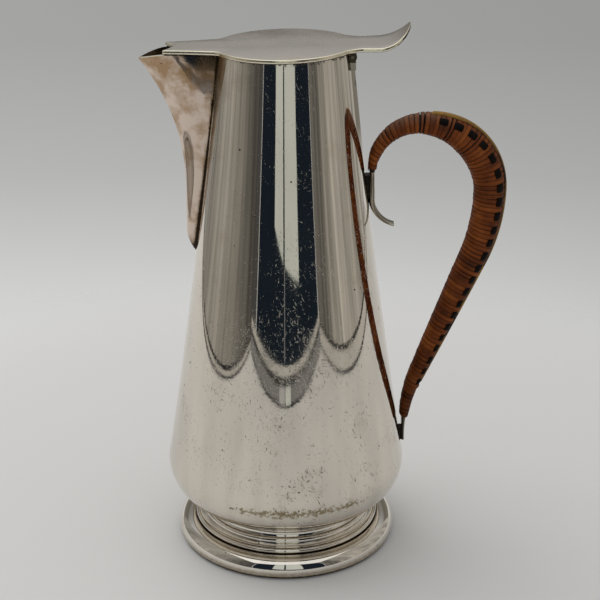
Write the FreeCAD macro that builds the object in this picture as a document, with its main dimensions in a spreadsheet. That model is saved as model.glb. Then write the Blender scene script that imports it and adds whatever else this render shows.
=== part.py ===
import FreeCAD
import Part
import math
import os
import Sketcher

Vector = FreeCAD.Vector
Rotation = FreeCAD.Rotation
Placement = FreeCAD.Placement

doc = FreeCAD.newDocument("CoffeePot")
sizes = doc.addObject("Spreadsheet::Sheet", "Sizes")

# Driving dimensions, in millimetres and degrees. The origin is the centre of the foot on the table,
# the spout points to -X, the handle to +X and the lid's hinge axis lies along Y.
driving = {
    # Vessel: a round-bottomed taper, trimmed at the top by the rim plane, which falls to the spout
    "wall": 1.0,
    "body_radius": 47.0,
    "floor_height": 17.0,
    "lower_arc": 16.0,
    "taper_arc": 2600.0,
    "mouth_radius": 24.6,
    "rim_height": 198.2,
    "rim_fall": 1.2,
    "rim_allowance": 4.0,
    # Pouring opening in the wall behind the spout, with its depth and head below the rim
    "opening_depth": 56.2,
    "opening_head": 12.2,
    "opening_width": 9.0,
    # Spout, with its depths below the rim; at the bend its front stands that far off the wall
    "spout_wall": 0.9,
    "spout_depth": 81.2,
    "spout_nose_depth": 70.2,
    "spout_bend_depth": 50.2,
    "spout_stand": 6.7,
    "spout_bend": 76.0,
    "spout_half_width": 7.8,
    "spout_nose_curve": 0.05,
    "spout_lip_length": 10.0,
    "spout_lip_drop": 2.6,
    # Foot
    "foot_skirt_radius": 36.0,
    "foot_skirt_lift": 0.6,
    "foot_wall": 1.0,
    "foot_bead_height": 2.0,
    "foot_bead_depth": 0.7,
    "foot_ledge": 0.4,
    "foot_cove_depth": 1.3,
    "foot_neck_inset": 0.2,
    "foot_wire_height": 7.9,
    "foot_wire_flat": 3.3,
    "foot_wire_round": 3.7,
    # Lid
    "lid_gap": 0.3,
    "lid_thickness": 1.5,
    "lid_radius": 26.0,
    "beak_reach": 44.0,
    "beak_half_width": 7.2,
    "beak_notch": 3.6,
    "beak_root_half_width": 12.3,
    "beak_root_reach": 18.0,
    "beak_flare": 0.3,
    "thumb_root_half_width": 10.0,
    "thumb_half_width": 11.0,
    "thumb_start": 34.0,
    "thumb_reach": 45.9,
    "thumb_rise": 7.2,
    "thumb_curl": 1.9,
    "bezel_depth": 3.0,
    "bezel_wall": 0.8,
    "bezel_clearance": 0.6,
    # Hinge
    "hinge_length": 18.0,
    "hinge_inset": 0.1,
    "hinge_drop": 1.7,
    "barrel_radius": 1.6,
    "pin_radius": 0.6,
    "pin_clearance": 0.05,
    "pin_stub": 0.3,
    "knuckle_gap": 0.3,
    "knuckle_web": 2.4,
    "notch_clearance": 0.4,
    "bearer_height": 2.8,
    "bearer_overhang": 1.2,
    # Handle
    "tail_bend": 11.0,
    "tail_turn": 68.0,
    "strap_low": 141.5,
    "strap_length": 10.6,
    "strap_gap": 0.3,
    "strap_half_width": 2.6,
    "shoulder_bend": 18.1,
    "crown_bend": 26.2,
    "heel_bend": 70.0,
    "run_lean": 22.4,
    "lower_bend": 63.0,
    "handle_foot": 39.6,
    "handle_foot_gap": 0.1,
    "tail_thickness": 1.2,
    "strap_thickness": 2.0,
    "shoulder_thickness": 6.2,
    "grip_thickness": 10.4,
    "crown_thickness": 10.2,
    "heel_thickness": 9.0,
    "run_thickness": 4.6,
    "foot_thickness": 1.4,
    "pad_half_width": 2.0,
    "upper_pad_height": 9.0,
    "lower_pad_height": 5.0,
    # Cane
    "cane_diameter": 0.9,
    "cane_bite": 0.05,
    "cane_gap": 0.41,
    "cane_stop": 5.0,
    "plait_width": 3.0,
    "plait_thickness": 0.6,
    "plait_angle": 54.0,
    "plait_stop": 20.0,
}
for row, (alias, value) in enumerate(driving.items(), start=1):
    sizes.set("A%d" % row, alias)
    sizes.set("B%d" % row, str(value))
    sizes.setAlias("B%d" % row, alias)
doc.recompute()

# Counts
windings = 4
knuckles = 5
core_section_count = 30
plait_section_count = 20


def size(alias):
    return float(sizes.get(alias))


def amount(text):
    # A sum of sizes such as "body_radius - 2*wall", as a number
    total = 0.0
    sign = 1.0
    for word in text.split():
        if word in "+-":
            sign = 1.0 if word == "+" else -1.0
            continue
        factor, _, alias = word.rpartition("*")
        total += sign * float(factor or 1.0) * (size(alias) if alias != "zero" else 0.0)
    return total


def formula(text):
    # The same sum, as an expression on the sheet
    words = []
    for word in text.split():
        factor, _, alias = word.rpartition("*")
        name = "0" if alias == "zero" else "Sizes." + alias
        words.append(word if word in "+-" else (factor + "*" + name if factor else name))
    return " ".join(words)


def rim_placement():
    # The rim's frame: its origin is on the axis, in the rim plane, and X climbs to the handle
    turn = Rotation(Vector(0, -1, 0), size("rim_fall"))
    return Placement(Vector(0, 0, size("rim_height")), turn)


def origin_plane(body, role):
    return [feature for feature in body.Origin.OriginFeatures if feature.Role == role][0]


def add_sketch(body, role, name, on_rim=False):
    sketch = body.newObject("Sketcher::SketchObject", name)
    sketch.AttachmentSupport = [(origin_plane(body, role), "")]
    sketch.MapMode = "FlatFace"
    if on_rim:
        turn = Rotation(Vector(0, 0, 1), size("rim_fall"))
        sketch.AttachmentOffset = Placement(Vector(0, size("rim_height"), 0), turn)
        sketch.setExpression("AttachmentOffset.Base.y", "Sizes.rim_height")
        sketch.setExpression("AttachmentOffset.Rotation.Angle", "Sizes.rim_fall")
    return sketch


def end_at(sketch, edge, point):
    # Which end of the edge lies at the point: 1 is its start and 2 its end
    first = (sketch.getPoint(edge, 1) - point).Length
    second = (sketch.getPoint(edge, 2) - point).Length
    return 1 if first <= second else 2


def bind(sketch, kind, places, text):
    index = sketch.addConstraint(Sketcher.Constraint(kind, *places, amount(text)))
    sketch.setExpression("Constraints[%d]" % index, formula(text))


def place_point(sketch, edge, end, across, up):
    if amount(across) == 0.0:
        sketch.addConstraint(Sketcher.Constraint("PointOnObject", edge, end, -2))
    else:
        bind(sketch, "DistanceX", (-1, 1, edge, end), across)
    if amount(up) == 0.0:
        sketch.addConstraint(Sketcher.Constraint("PointOnObject", edge, end, -1))
    else:
        bind(sketch, "DistanceY", (-1, 1, edge, end), up)


def bulged(start, end, depth):
    # The middle of an arc that bulges by depth to the left of the way from start to end
    along = end - start
    left = Vector(-along.y, along.x, 0).normalize()
    return (start + end) * 0.5 + left * depth


def draw_outline(sketch, corners):
    # A closed outline. A corner is (across, up), or (across, up, depth, side) where an arc leaves it:
    # the arc bulges by depth to the left, side 1, or to the right, side -1.
    points = [Vector(amount(corner[0]), amount(corner[1]), 0) for corner in corners]
    edges = []
    for corner, start, end in zip(corners, points, points[1:] + points[:1]):
        if len(corner) == 2:
            edges.append(sketch.addGeometry(Part.LineSegment(start, end)))
        else:
            middle = bulged(start, end, corner[3] * amount(corner[2]))
            edges.append(sketch.addGeometry(Part.Arc(start, middle, end)))
    for index, corner in enumerate(corners):
        edge = edges[index]
        before = edges[index - 1]
        start = end_at(sketch, edge, points[index])
        joined = end_at(sketch, before, points[index])
        sketch.addConstraint(Sketcher.Constraint("Coincident", before, joined, edge, start))
        place_point(sketch, edge, start, corner[0], corner[1])
    for index, corner in enumerate(corners):
        if len(corner) == 4:
            following = corners[(index + 1) % len(corners)]
            bind_arc(sketch, edges[index], corner, following)


def bind_arc(sketch, edge, corner, following):
    across = "((%s) - (%s))" % (formula(following[0]), formula(corner[0]))
    up = "((%s) - (%s))" % (formula(following[1]), formula(corner[1]))
    depth = "(%s)" % formula(corner[2])
    radius = "(%s^2 + %s^2) / (8 * %s) + %s / 2" % (across, up, depth, depth)
    centre = sketch.getPoint(edge, 3)
    value = (centre - sketch.getPoint(edge, 1)).Length
    index = sketch.addConstraint(Sketcher.Constraint("Radius", edge, value))
    sketch.setExpression("Constraints[%d]" % index, radius)


def revolve(body, sketch, kind):
    feature = body.newObject("PartDesign::" + kind, body.Name + kind)
    feature.Profile = sketch
    feature.ReferenceAxis = (sketch, ["V_Axis"])
    feature.Angle = 360.0
    doc.recompute()
    return feature


def pad(body, sketch, name, length):
    feature = body.newObject("PartDesign::Pad", name)
    feature.Profile = sketch
    feature.setExpression("Length", length)
    return feature


def pocket(body, sketch, name, length=None, both_sides=True):
    before = body.Shape.Volume
    feature = body.newObject("PartDesign::Pocket", name)
    feature.Profile = sketch
    feature.SideType = "Symmetric" if both_sides else "One side"
    if length is None:
        feature.Type = "ThroughAll"
    else:
        feature.setExpression("Length", length)
    doc.recompute()
    if body.Shape.Volume >= before:
        raise RuntimeError(name + " cuts nothing")
    return feature


def new_body(label):
    body = doc.addObject("PartDesign::Body", label)
    body.Label = label
    return body


def boolean(kind, name, base, tool):
    result = doc.addObject("Part::" + kind, name)
    result.Base = base
    result.Tool = tool
    return result


# Vessel profile: a floor, a lower arc and a slightly hollow taper, each tangent to the next
def vessel_curve(inset):
    arc = size("lower_arc") - inset
    taper = size("taper_arc") + inset
    centre = Vector(size("body_radius") - size("lower_arc"), size("floor_height") + size("lower_arc"), 0)
    top = Vector(size("mouth_radius") - inset, size("rim_height") + size("rim_allowance"), 0)
    chord = top - centre
    reach = taper + arc
    along = (chord.Length ** 2 + reach ** 2 - taper ** 2) / (2 * chord.Length)
    aside = math.sqrt(reach ** 2 - along ** 2)
    way = Vector(chord).normalize()
    far_centre = centre + way * along + Vector(way.y, -way.x, 0) * aside
    joint = centre + (far_centre - centre) * (arc / reach)
    return {"arc": arc, "taper": taper, "centre": centre, "far": far_centre, "joint": joint, "top": top}


def vessel_radius(height, inset=0.0):
    curve = vessel_curve(inset)
    if height >= curve["joint"].y:
        return curve["far"].x - math.sqrt(curve["taper"] ** 2 - (height - curve["far"].y) ** 2)
    return curve["centre"].x + math.sqrt(curve["arc"] ** 2 - (height - curve["centre"].y) ** 2)


def vessel_sketch(body, name, hollow):
    # The solid profile, or the hollow one inside the wall
    inset = size("wall") if hollow else 0.0
    plus = " + wall" if hollow else ""
    minus = " - wall" if hollow else ""
    curve = vessel_curve(inset)
    sketch = add_sketch(body, "XZ_Plane", name)
    floor = curve["centre"].y - curve["arc"]
    low_axis = Vector(0, floor, 0)
    low = Vector(curve["centre"].x, floor, 0)
    top = curve["top"]
    top_axis = Vector(0, top.y, 0)
    start_angle = -math.pi / 2
    spread = curve["joint"] - curve["centre"]
    end_angle = math.atan2(spread.y, spread.x)
    middle_angle = (start_angle + end_angle) / 2
    belly = curve["centre"] + Vector(math.cos(middle_angle), math.sin(middle_angle), 0) * curve["arc"]
    middle_height = (top.y + curve["joint"].y) / 2
    waist = Vector(vessel_radius(middle_height, inset), middle_height, 0)
    base = sketch.addGeometry(Part.LineSegment(low_axis, low))
    lower = sketch.addGeometry(Part.Arc(low, belly, curve["joint"]))
    taper = sketch.addGeometry(Part.Arc(curve["joint"], waist, top))
    mouth = sketch.addGeometry(Part.LineSegment(top, top_axis))
    axis = sketch.addGeometry(Part.LineSegment(top_axis, low_axis))

    def join(kind, first, second, point):
        ends = (first, end_at(sketch, first, point), second, end_at(sketch, second, point))
        sketch.addConstraint(Sketcher.Constraint(kind, *ends))

    join("Tangent", base, lower, low)
    join("Tangent", lower, taper, curve["joint"])
    join("Coincident", taper, mouth, top)
    join("Coincident", mouth, axis, top_axis)
    join("Coincident", axis, base, low_axis)
    sketch.addConstraint(Sketcher.Constraint("Horizontal", base))
    sketch.addConstraint(Sketcher.Constraint("Horizontal", mouth))
    sketch.addConstraint(Sketcher.Constraint("PointOnObject", axis, 1, -2))
    sketch.addConstraint(Sketcher.Constraint("PointOnObject", axis, 2, -2))
    bind(sketch, "DistanceY", (-1, 1, base, 1), "floor_height" + plus)
    bind(sketch, "DistanceX", (-1, 1, lower, 3), "body_radius - lower_arc")
    bind(sketch, "Radius", (lower,), "lower_arc" + minus)
    bind(sketch, "Radius", (taper,), "taper_arc" + plus)
    top_end = end_at(sketch, taper, top)
    bind(sketch, "DistanceX", (-1, 1, taper, top_end), "mouth_radius" + minus)
    bind(sketch, "DistanceY", (-1, 1, taper, top_end), "rim_height + rim_allowance")
    return sketch


def make_vessel_blank():
    # The vessel's outer form, untrimmed, which other pieces are fitted to
    body = new_body("vessel_blank")
    revolve(body, vessel_sketch(body, "BlankProfile", False), "Revolution")
    return body


def make_body_shell():
    body = new_body("body_shell")
    revolve(body, vessel_sketch(body, "ShellProfile", False), "Revolution")
    revolve(body, vessel_sketch(body, "HollowProfile", True), "Groove")
    trim = add_sketch(body, "XZ_Plane", "RimTrim", on_rim=True)
    draw_outline(trim, [("- 2*mouth_radius", "zero"), ("2*mouth_radius", "zero"),
                        ("2*mouth_radius", "4*rim_allowance"), ("- 2*mouth_radius", "4*rim_allowance")])
    pocket(body, trim, "RimCut")
    notch = add_sketch(body, "XZ_Plane", "HingeNotch", on_rim=True)
    inner = "mouth_radius - hinge_inset - barrel_radius - notch_clearance"
    low = "- hinge_drop - barrel_radius - notch_clearance"
    draw_outline(notch, [(inner, low), ("2*mouth_radius", low),
                         ("2*mouth_radius", "rim_allowance"), (inner, "rim_allowance")])
    pocket(body, notch, "HingeCut", "Sizes.hinge_length + 2 * Sizes.pin_stub + 2 * Sizes.knuckle_gap")
    opening = add_sketch(body, "YZ_Plane", "PouringOpening")
    head = "rim_height - opening_head"
    draw_outline(opening, [("- 0.5*opening_width", head), ("zero", "rim_height - opening_depth"),
                           ("0.5*opening_width", head)])
    pocket(body, opening, "PouringCut", "2 * Sizes.body_radius", both_sides=False)
    return body


# Spout: a beak with an ogive plan, rounder low down, whose front line is upright and then bends out
def below_rim(alias):
    return size("rim_height") - size(alias)


def spout_front(height):
    bend_height = below_rim("spout_bend_depth")
    nose_height = below_rim("spout_nose_depth")
    front = vessel_radius(bend_height) + size("spout_stand")
    if height < nose_height:
        return front - size("spout_nose_curve") * (nose_height - height) ** 2
    if height < bend_height:
        return front
    bend = size("spout_bend")
    climb = height - bend_height
    return front + bend - math.sqrt(bend ** 2 - climb ** 2)


def spout_section(height, inset):
    share = (height - below_rim("spout_depth")) / size("spout_depth")
    half = size("spout_half_width") * math.sqrt(max(share, 0.01)) - inset
    nose = spout_front(height) - 1.3 * inset
    proud = max(nose - vessel_radius(height), half)
    straight = nose - min(proud, 2 * half)
    back = vessel_radius(height) - size("spout_half_width")
    radius = (half ** 2 + (nose - straight) ** 2) / (2 * half)
    half_angle = math.atan2(nose - straight, radius - half) / 2
    side = Vector(-straight - radius * math.sin(half_angle), radius * math.cos(half_angle) - radius + half, 0)
    tip = Vector(-nose, 0, 0)
    left = Vector(-straight, half, 0)
    back_left = Vector(-back, half, 0)
    mirrored = [Vector(point.x, -point.y, 0) for point in (side, left, back_left)]
    edges = [Part.LineSegment(back_left, left).toShape(),
             Part.Arc(left, side, tip).toShape(),
             Part.Arc(tip, mirrored[0], mirrored[1]).toShape(),
             Part.LineSegment(mirrored[1], mirrored[2]).toShape(),
             Part.LineSegment(mirrored[2], back_left).toShape()]
    wire = Part.Wire(edges)
    wire.translate(Vector(0, 0, height))
    return wire


def spout_form(inset, low):
    high = size("rim_height") + size("rim_allowance")
    bend = below_rim("spout_bend_depth")
    nose = below_rim("spout_nose_depth")
    heights = [low, (low + nose) / 2, nose, (nose + bend) / 2, bend]
    heights += [bend + (high - bend) * share for share in (0.3, 0.55, 0.78, 1.0)]
    return Part.makeLoft([spout_section(height, inset) for height in heights], True, False)


def lip_trim():
    # What is cut away above the rim plane and above the drooping lip beyond the lid's beak
    long = 4 * size("body_radius")
    lip = size("beak_reach")
    drop = size("spout_lip_drop")
    reach = size("spout_lip_length")
    points = [Vector(0, 0, 0), Vector(-lip, 0, 0), Vector(-lip - reach, 0, -drop),
              Vector(-lip - 2 * reach, 0, -3 * drop), Vector(-long, 0, long), Vector(0, 0, long)]
    edges = [Part.LineSegment(points[0], points[1]).toShape(),
             Part.Arc(points[1], points[1] * 0.5 + points[2] * 0.5 + Vector(0, 0, drop * 0.25),
                      points[2]).toShape(),
             Part.LineSegment(points[2], points[3]).toShape(),
             Part.LineSegment(points[3], points[4]).toShape(),
             Part.LineSegment(points[4], points[5]).toShape(),
             Part.LineSegment(points[5], points[0]).toShape()]
    face = Part.Face(Part.Wire(edges))
    face.translate(Vector(0, -long, 0))
    solid = face.extrude(Vector(0, 2 * long, 0))
    solid.Placement = rim_placement().multiply(solid.Placement)
    return solid


def make_spout(blank):
    low = below_rim("spout_depth")
    outer = spout_form(0.0, low)
    inner = spout_form(size("spout_wall"), low + 4 * size("spout_wall"))
    shape = outer.cut(inner).cut(blank.Shape).cut(lip_trim())
    solids = sorted(shape.Solids, key=lambda solid: solid.Volume)
    spout = doc.addObject("Part::Feature", "spout")
    spout.Shape = solids[-1]
    return spout


# Foot: a spun skirt with a bead and a cove up to the neck, inside a heavy ring
def make_foot():
    body = new_body("foot")
    sketch = add_sketch(body, "XZ_Plane", "FootProfile")
    neck = "body_radius - lower_arc - foot_neck_inset"
    ledge = "foot_skirt_radius + foot_ledge"
    bead_top = "foot_wire_height + foot_bead_height"
    draw_outline(sketch, [
        (neck, "floor_height", "foot_cove_depth", -1),
        (ledge, bead_top, "foot_bead_depth", 1),
        (ledge, "foot_wire_height"),
        ("foot_skirt_radius", "foot_wire_height"),
        ("foot_skirt_radius", "foot_skirt_lift"),
        ("foot_skirt_radius - foot_wall", "foot_skirt_lift"),
        ("foot_skirt_radius - foot_wall", bead_top, "foot_cove_depth", 1),
        (neck + " - foot_wall", "floor_height"),
    ])
    revolve(body, sketch, "Revolution")
    return body


def make_foot_wire():
    body = new_body("foot_wire")
    sketch = add_sketch(body, "XZ_Plane", "FootWireProfile")
    outer = "foot_skirt_radius + foot_wire_flat"
    draw_outline(sketch, [("foot_skirt_radius", "zero"), (outer, "zero", "foot_wire_round", -1),
                          (outer, "foot_wire_height"), ("foot_skirt_radius", "foot_wire_height")])
    revolve(body, sketch, "Revolution")
    return body


# Lid: a strip with a curled end, kept inside the plan of a disc, a beak and a thumb-piece
def make_lid_plate():
    strip = new_body("lid_strip")
    profile = add_sketch(strip, "XZ_Plane", "LidStripProfile")
    upper = "lid_gap + lid_thickness"
    draw_outline(profile, [
        ("- 2*beak_reach", "lid_gap"),
        ("thumb_start", "lid_gap", "thumb_curl", -1),
        ("thumb_reach", "lid_gap + thumb_rise"),
        ("thumb_reach - lid_thickness", "lid_gap + thumb_rise", "0.8*thumb_curl", 1),
        ("thumb_start", upper),
        ("- 2*beak_reach", upper),
    ])
    pad(strip, profile, "LidStripPad", "4 * Sizes.lid_radius").SideType = "Symmetric"
    plan = new_body("lid_plan")
    height = "2 * (Sizes.lid_thickness + Sizes.lid_gap + Sizes.thumb_rise)"
    disc = add_sketch(plan, "XY_Plane", "LidDisc")
    disc.addGeometry(Part.Circle(Vector(0, 0, 0), Vector(0, 0, 1), size("lid_radius")))
    disc.addConstraint(Sketcher.Constraint("Coincident", 0, 3, -1, 1))
    bind(disc, "Radius", (0,), "lid_radius")
    pad(plan, disc, "LidDiscPad", height)
    beak = add_sketch(plan, "XY_Plane", "LidBeak")
    draw_outline(beak, [
        ("- beak_root_reach", "beak_root_half_width", "beak_flare", 1),
        ("- beak_reach", "beak_half_width"),
        ("beak_notch - beak_reach", "zero"),
        ("- beak_reach", "- beak_half_width", "beak_flare", 1),
        ("- beak_root_reach", "- beak_root_half_width"),
    ])
    pad(plan, beak, "LidBeakPad", height)
    thumb = add_sketch(plan, "XY_Plane", "LidThumb")
    draw_outline(thumb, [
        ("zero", "thumb_root_half_width"),
        ("zero", "- thumb_root_half_width"),
        ("thumb_start", "- thumb_half_width", "thumb_reach - thumb_start", -1),
        ("thumb_start", "thumb_half_width"),
    ])
    pad(plan, thumb, "LidThumbPad", height)
    doc.recompute()
    plate = boolean("Common", "lid_plate", strip, plan)
    plate.Placement = rim_placement()
    return plate


def cylinder(name, radius, height, placement):
    shape = doc.addObject("Part::Cylinder", name)
    shape.setExpression("Radius", radius)
    shape.setExpression("Height", height)
    shape.Placement = placement
    return shape


def box(name, lengths, placement):
    shape = doc.addObject("Part::Box", name)
    for side, text in zip(("Length", "Width", "Height"), lengths):
        shape.setExpression(side, text)
    shape.Placement = placement
    return shape


def make_lid_bezel():
    low = Placement(Vector(0, 0, size("lid_gap") - size("bezel_depth")), Rotation())
    radius = "Sizes.mouth_radius - Sizes.wall - Sizes.bezel_clearance"
    outer = cylinder("BezelOuter", radius, "Sizes.bezel_depth", low)
    inner = cylinder("BezelInner", radius + " - Sizes.bezel_wall", "Sizes.bezel_depth", low)
    ring = boolean("Cut", "BezelRing", outer, inner)
    length = size("hinge_length") + 4 * size("knuckle_gap")
    start = Vector(size("mouth_radius") / 2, -length / 2, size("lid_gap") - size("bezel_depth"))
    lengths = ("Sizes.mouth_radius", "Sizes.hinge_length + 4 * Sizes.knuckle_gap", "Sizes.bezel_depth")
    gap = box("BezelGap", lengths, Placement(start, Rotation()))
    bezel = boolean("Cut", "lid_bezel", ring, gap)
    bezel.Placement = rim_placement()
    return bezel


# Hinge: five knuckles on one pin, in the rim's frame, the second and fourth on the lid
def hinge_axis():
    return Vector(size("mouth_radius") - size("hinge_inset"), 0, -size("hinge_drop"))


def along_hinge(start):
    return Placement(hinge_axis() + Vector(0, start, 0), Rotation(Vector(1, 0, 0), -90))


def make_knuckle(label, place, on_lid):
    length = (size("hinge_length") - (knuckles - 1) * size("knuckle_gap")) / knuckles
    start = place * (length + size("knuckle_gap")) - size("hinge_length") / 2
    text = "(Sizes.hinge_length - %d * Sizes.knuckle_gap) / %d" % (knuckles - 1, knuckles)
    barrel = cylinder(label + "Barrel", "Sizes.barrel_radius", text, along_hinge(start))
    if on_lid:
        height = "Sizes.hinge_drop + Sizes.lid_gap"
        drop = 0.0
        bore_radius = "Sizes.pin_radius + Sizes.pin_clearance"
    else:
        height = "Sizes.barrel_radius + Sizes.notch_clearance"
        drop = size("barrel_radius") + size("notch_clearance")
        bore_radius = "Sizes.pin_radius"
    corner = hinge_axis() + Vector(-size("knuckle_web") / 2, start, -drop)
    web = box(label + "Web", ("Sizes.knuckle_web", text, height), Placement(corner, Rotation()))
    block = boolean("Fuse", label + "Block", barrel, web)
    bore = cylinder(label + "Bore", bore_radius, text, along_hinge(start))
    knuckle = boolean("Cut", label, block, bore)
    knuckle.Placement = rim_placement()
    return knuckle


def make_hinge_pin():
    start = -size("hinge_length") / 2 - size("pin_stub")
    place = rim_placement().multiply(along_hinge(start))
    return cylinder("hinge_pin", "Sizes.pin_radius", "Sizes.hinge_length + 2 * Sizes.pin_stub", place)


def make_hinge_bearer(blank):
    depth = 2 * size("barrel_radius") + size("bearer_overhang") + size("wall")
    top = -size("hinge_drop") - size("barrel_radius") - size("notch_clearance")
    outer = hinge_axis().x + size("bearer_overhang")
    corner = Vector(outer - depth, -size("hinge_length") / 2, top - size("bearer_height"))
    lengths = ("2 * Sizes.barrel_radius + Sizes.bearer_overhang + Sizes.wall",
               "Sizes.hinge_length", "Sizes.bearer_height")
    bar = box("BearerBar", lengths, rim_placement().multiply(Placement(corner, Rotation())))
    return boolean("Cut", "hinge_bearer", bar, blank)


# Handle: a centre line of straight runs and tangent arcs in the XZ plane, from the tail's tip through
# the strap, shoulder, crown, heel, straight run and lower bend to the foot
def handle_runs():
    # Each run is (length, turn in radians); a turn to the right is negative
    lean = math.radians(size("run_lean"))
    top = strap_place() + size("shoulder_bend") + size("crown_bend")
    foot = foot_place()
    across = top - (size("heel_bend") + size("lower_bend")) * (1 - math.cos(lean)) - foot
    straight = across / math.sin(lean)
    crown_low = size("strap_low") + size("strap_length") + size("shoulder_bend") - size("crown_bend")
    bends = (size("heel_bend") + size("lower_bend")) * math.sin(lean)
    foot_top = crown_low - bends - straight * math.cos(lean)
    quarter = math.pi / 2
    tail_turn = math.radians(size("tail_turn"))
    return {
        "tail": (size("tail_bend") * tail_turn, -tail_turn),
        "strap": (size("strap_length"), 0.0),
        "shoulder": (size("shoulder_bend") * quarter, -quarter),
        "crown": (size("crown_bend") * quarter, -quarter),
        "heel": (size("heel_bend") * lean, -lean),
        "run": (straight, 0.0),
        "lower": (size("lower_bend") * lean, lean),
        "foot": (foot_top - size("handle_foot"), 0.0),
    }


def strap_place():
    return vessel_radius(size("strap_low")) + size("strap_gap") + size("strap_thickness") / 2


def foot_place():
    height = size("handle_foot")
    return vessel_radius(height) + size("handle_foot_gap") + size("foot_thickness") / 2


def run_end(name):
    # The distance along the centre line to the end of a run
    total = 0.0
    for run, (length, turn) in handle_runs().items():
        total += length
        if run == name:
            return total
    return total


def handle_frame(distance):
    # The centre line's point there, the way along it and the way outwards from the bends
    tail_turn = math.radians(size("tail_turn"))
    heading = math.pi / 2 + tail_turn
    bend = size("tail_bend")
    point = Vector(strap_place() + bend - bend * math.cos(tail_turn), 0,
                   size("strap_low") - bend * math.sin(tail_turn))
    left = distance
    for length, turn in handle_runs().values():
        part = min(max(left, 0.0), length)
        left -= length
        change = turn * part / length
        chord = part
        if abs(change) > 1e-9:
            chord = part * math.sin(change / 2) / (change / 2)
        middle = heading + change / 2
        point += Vector(math.cos(middle), 0, math.sin(middle)) * chord
        heading += change
        if left <= 0:
            break
    way = Vector(math.cos(heading), 0, math.sin(heading))
    out = Vector(-math.sin(heading), 0, math.cos(heading))
    return point, way, out


def thickness_marks():
    crown_middle = (run_end("shoulder") + run_end("crown")) / 2
    return [
        (0.0, size("tail_thickness") / 2),
        (run_end("tail"), size("strap_thickness") / 2),
        (run_end("strap"), size("strap_thickness") / 2),
        (run_end("shoulder"), size("shoulder_thickness") / 2),
        (crown_middle, size("grip_thickness") / 2),
        (run_end("crown"), size("crown_thickness") / 2),
        (run_end("heel"), size("heel_thickness") / 2),
        (run_end("run"), size("run_thickness") / 2),
        (run_end("lower"), size("foot_thickness") / 2),
        (run_end("foot"), size("foot_thickness") / 2),
    ]


def grip(distance, marks):
    # Half the core's thickness and half its width there: a smooth curve through the named thicknesses
    slopes = []
    for index in range(len(marks)):
        low = marks[max(index - 1, 0)]
        high = marks[min(index + 1, len(marks) - 1)]
        slopes.append((high[1] - low[1]) / (high[0] - low[0]))
    index = 0
    while index < len(marks) - 2 and distance > marks[index + 1][0]:
        index += 1
    start, end = marks[index], marks[index + 1]
    span = end[0] - start[0]
    u = min(max((distance - start[0]) / span, 0.0), 1.0)
    half = (2 * u ** 3 - 3 * u ** 2 + 1) * start[1] + (3 * u ** 2 - 2 * u ** 3) * end[1]
    half += span * ((u ** 3 - 2 * u ** 2 + u) * slopes[index] + (u ** 3 - u ** 2) * slopes[index + 1])
    return half, math.hypot(half, size("strap_half_width"))


def make_handle_core():
    marks = thickness_marks()
    total = run_end("foot")
    wires = []
    for index in range(core_section_count + 1):
        distance = total * index / core_section_count
        point, way, out = handle_frame(distance)
        half, width = grip(distance, marks)
        ellipse = Part.Ellipse(point + Vector(0, width, 0), point + out * half, point)
        wires.append(Part.Wire([ellipse.toShape()]))
    core = doc.addObject("Part::Feature", "handle_core")
    core.Shape = Part.makeLoft(wires, True, False)
    return core


def make_pad(label, place, low, height, blank, core):
    # Solder between the vessel and the bare strap
    half_width = size("pad_half_width")
    depth = "4 * Sizes.strap_thickness"
    corner = Vector(place - 4 * size("strap_thickness"), -half_width, low)
    lengths = (depth, "2 * Sizes.pad_half_width", height)
    block = box(label + "Block", lengths, Placement(corner, Rotation()))
    fitted = boolean("Cut", label + "Fitted", block, blank)
    return boolean("Cut", label, fitted, core)


# Cane: each winding is one unbroken tube of equal turns on the core
def loops_along(share):
    # As many turns as lie the named gap apart inside the crown, where they crowd most
    depth = (size("grip_thickness") + size("cane_diameter")) / 2 - size("cane_bite")
    crowding = 1 - depth / size("crown_bend")
    pitch = (size("cane_diameter") + size("cane_gap")) / crowding
    return int(share / pitch) - 1


def winding_place(turn, pitch, first, marks):
    # The tube's centre after that many turns
    distance = first + pitch * turn
    point, way, out = handle_frame(distance)
    half, width = grip(distance, marks)
    lift = size("cane_diameter") / 2 - size("cane_bite")
    angle = 2 * math.pi * turn
    return point + out * ((half + lift) * math.cos(angle)) + Vector(0, (width + lift) * math.sin(angle), 0)


def arc_middle(start, tangent, end):
    chord = end - start
    way = Vector(chord).normalize()
    lean = max(min(tangent.dot(way), 1.0), -1.0)
    aside = tangent - way * lean
    height = chord.Length / 2 * math.tan(math.acos(lean) / 2)
    return (start + end) * 0.5 + aside.normalize() * height


def biarc(start, start_way, end, end_way):
    # Two arcs, tangent to each other, from one point and way to the next
    chord = end - start
    both = chord.dot(start_way + end_way)
    spread = 2 * (1 - start_way.dot(end_way))
    reach = (math.sqrt(both ** 2 + spread * chord.dot(chord)) - both) / spread
    middle = (start + end + (start_way - end_way) * reach) * 0.5
    first = Part.Arc(start, arc_middle(start, start_way, middle), middle)
    second = Part.Arc(middle, arc_middle(end, end_way * -1, middle), end)
    return [first, second]


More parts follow.
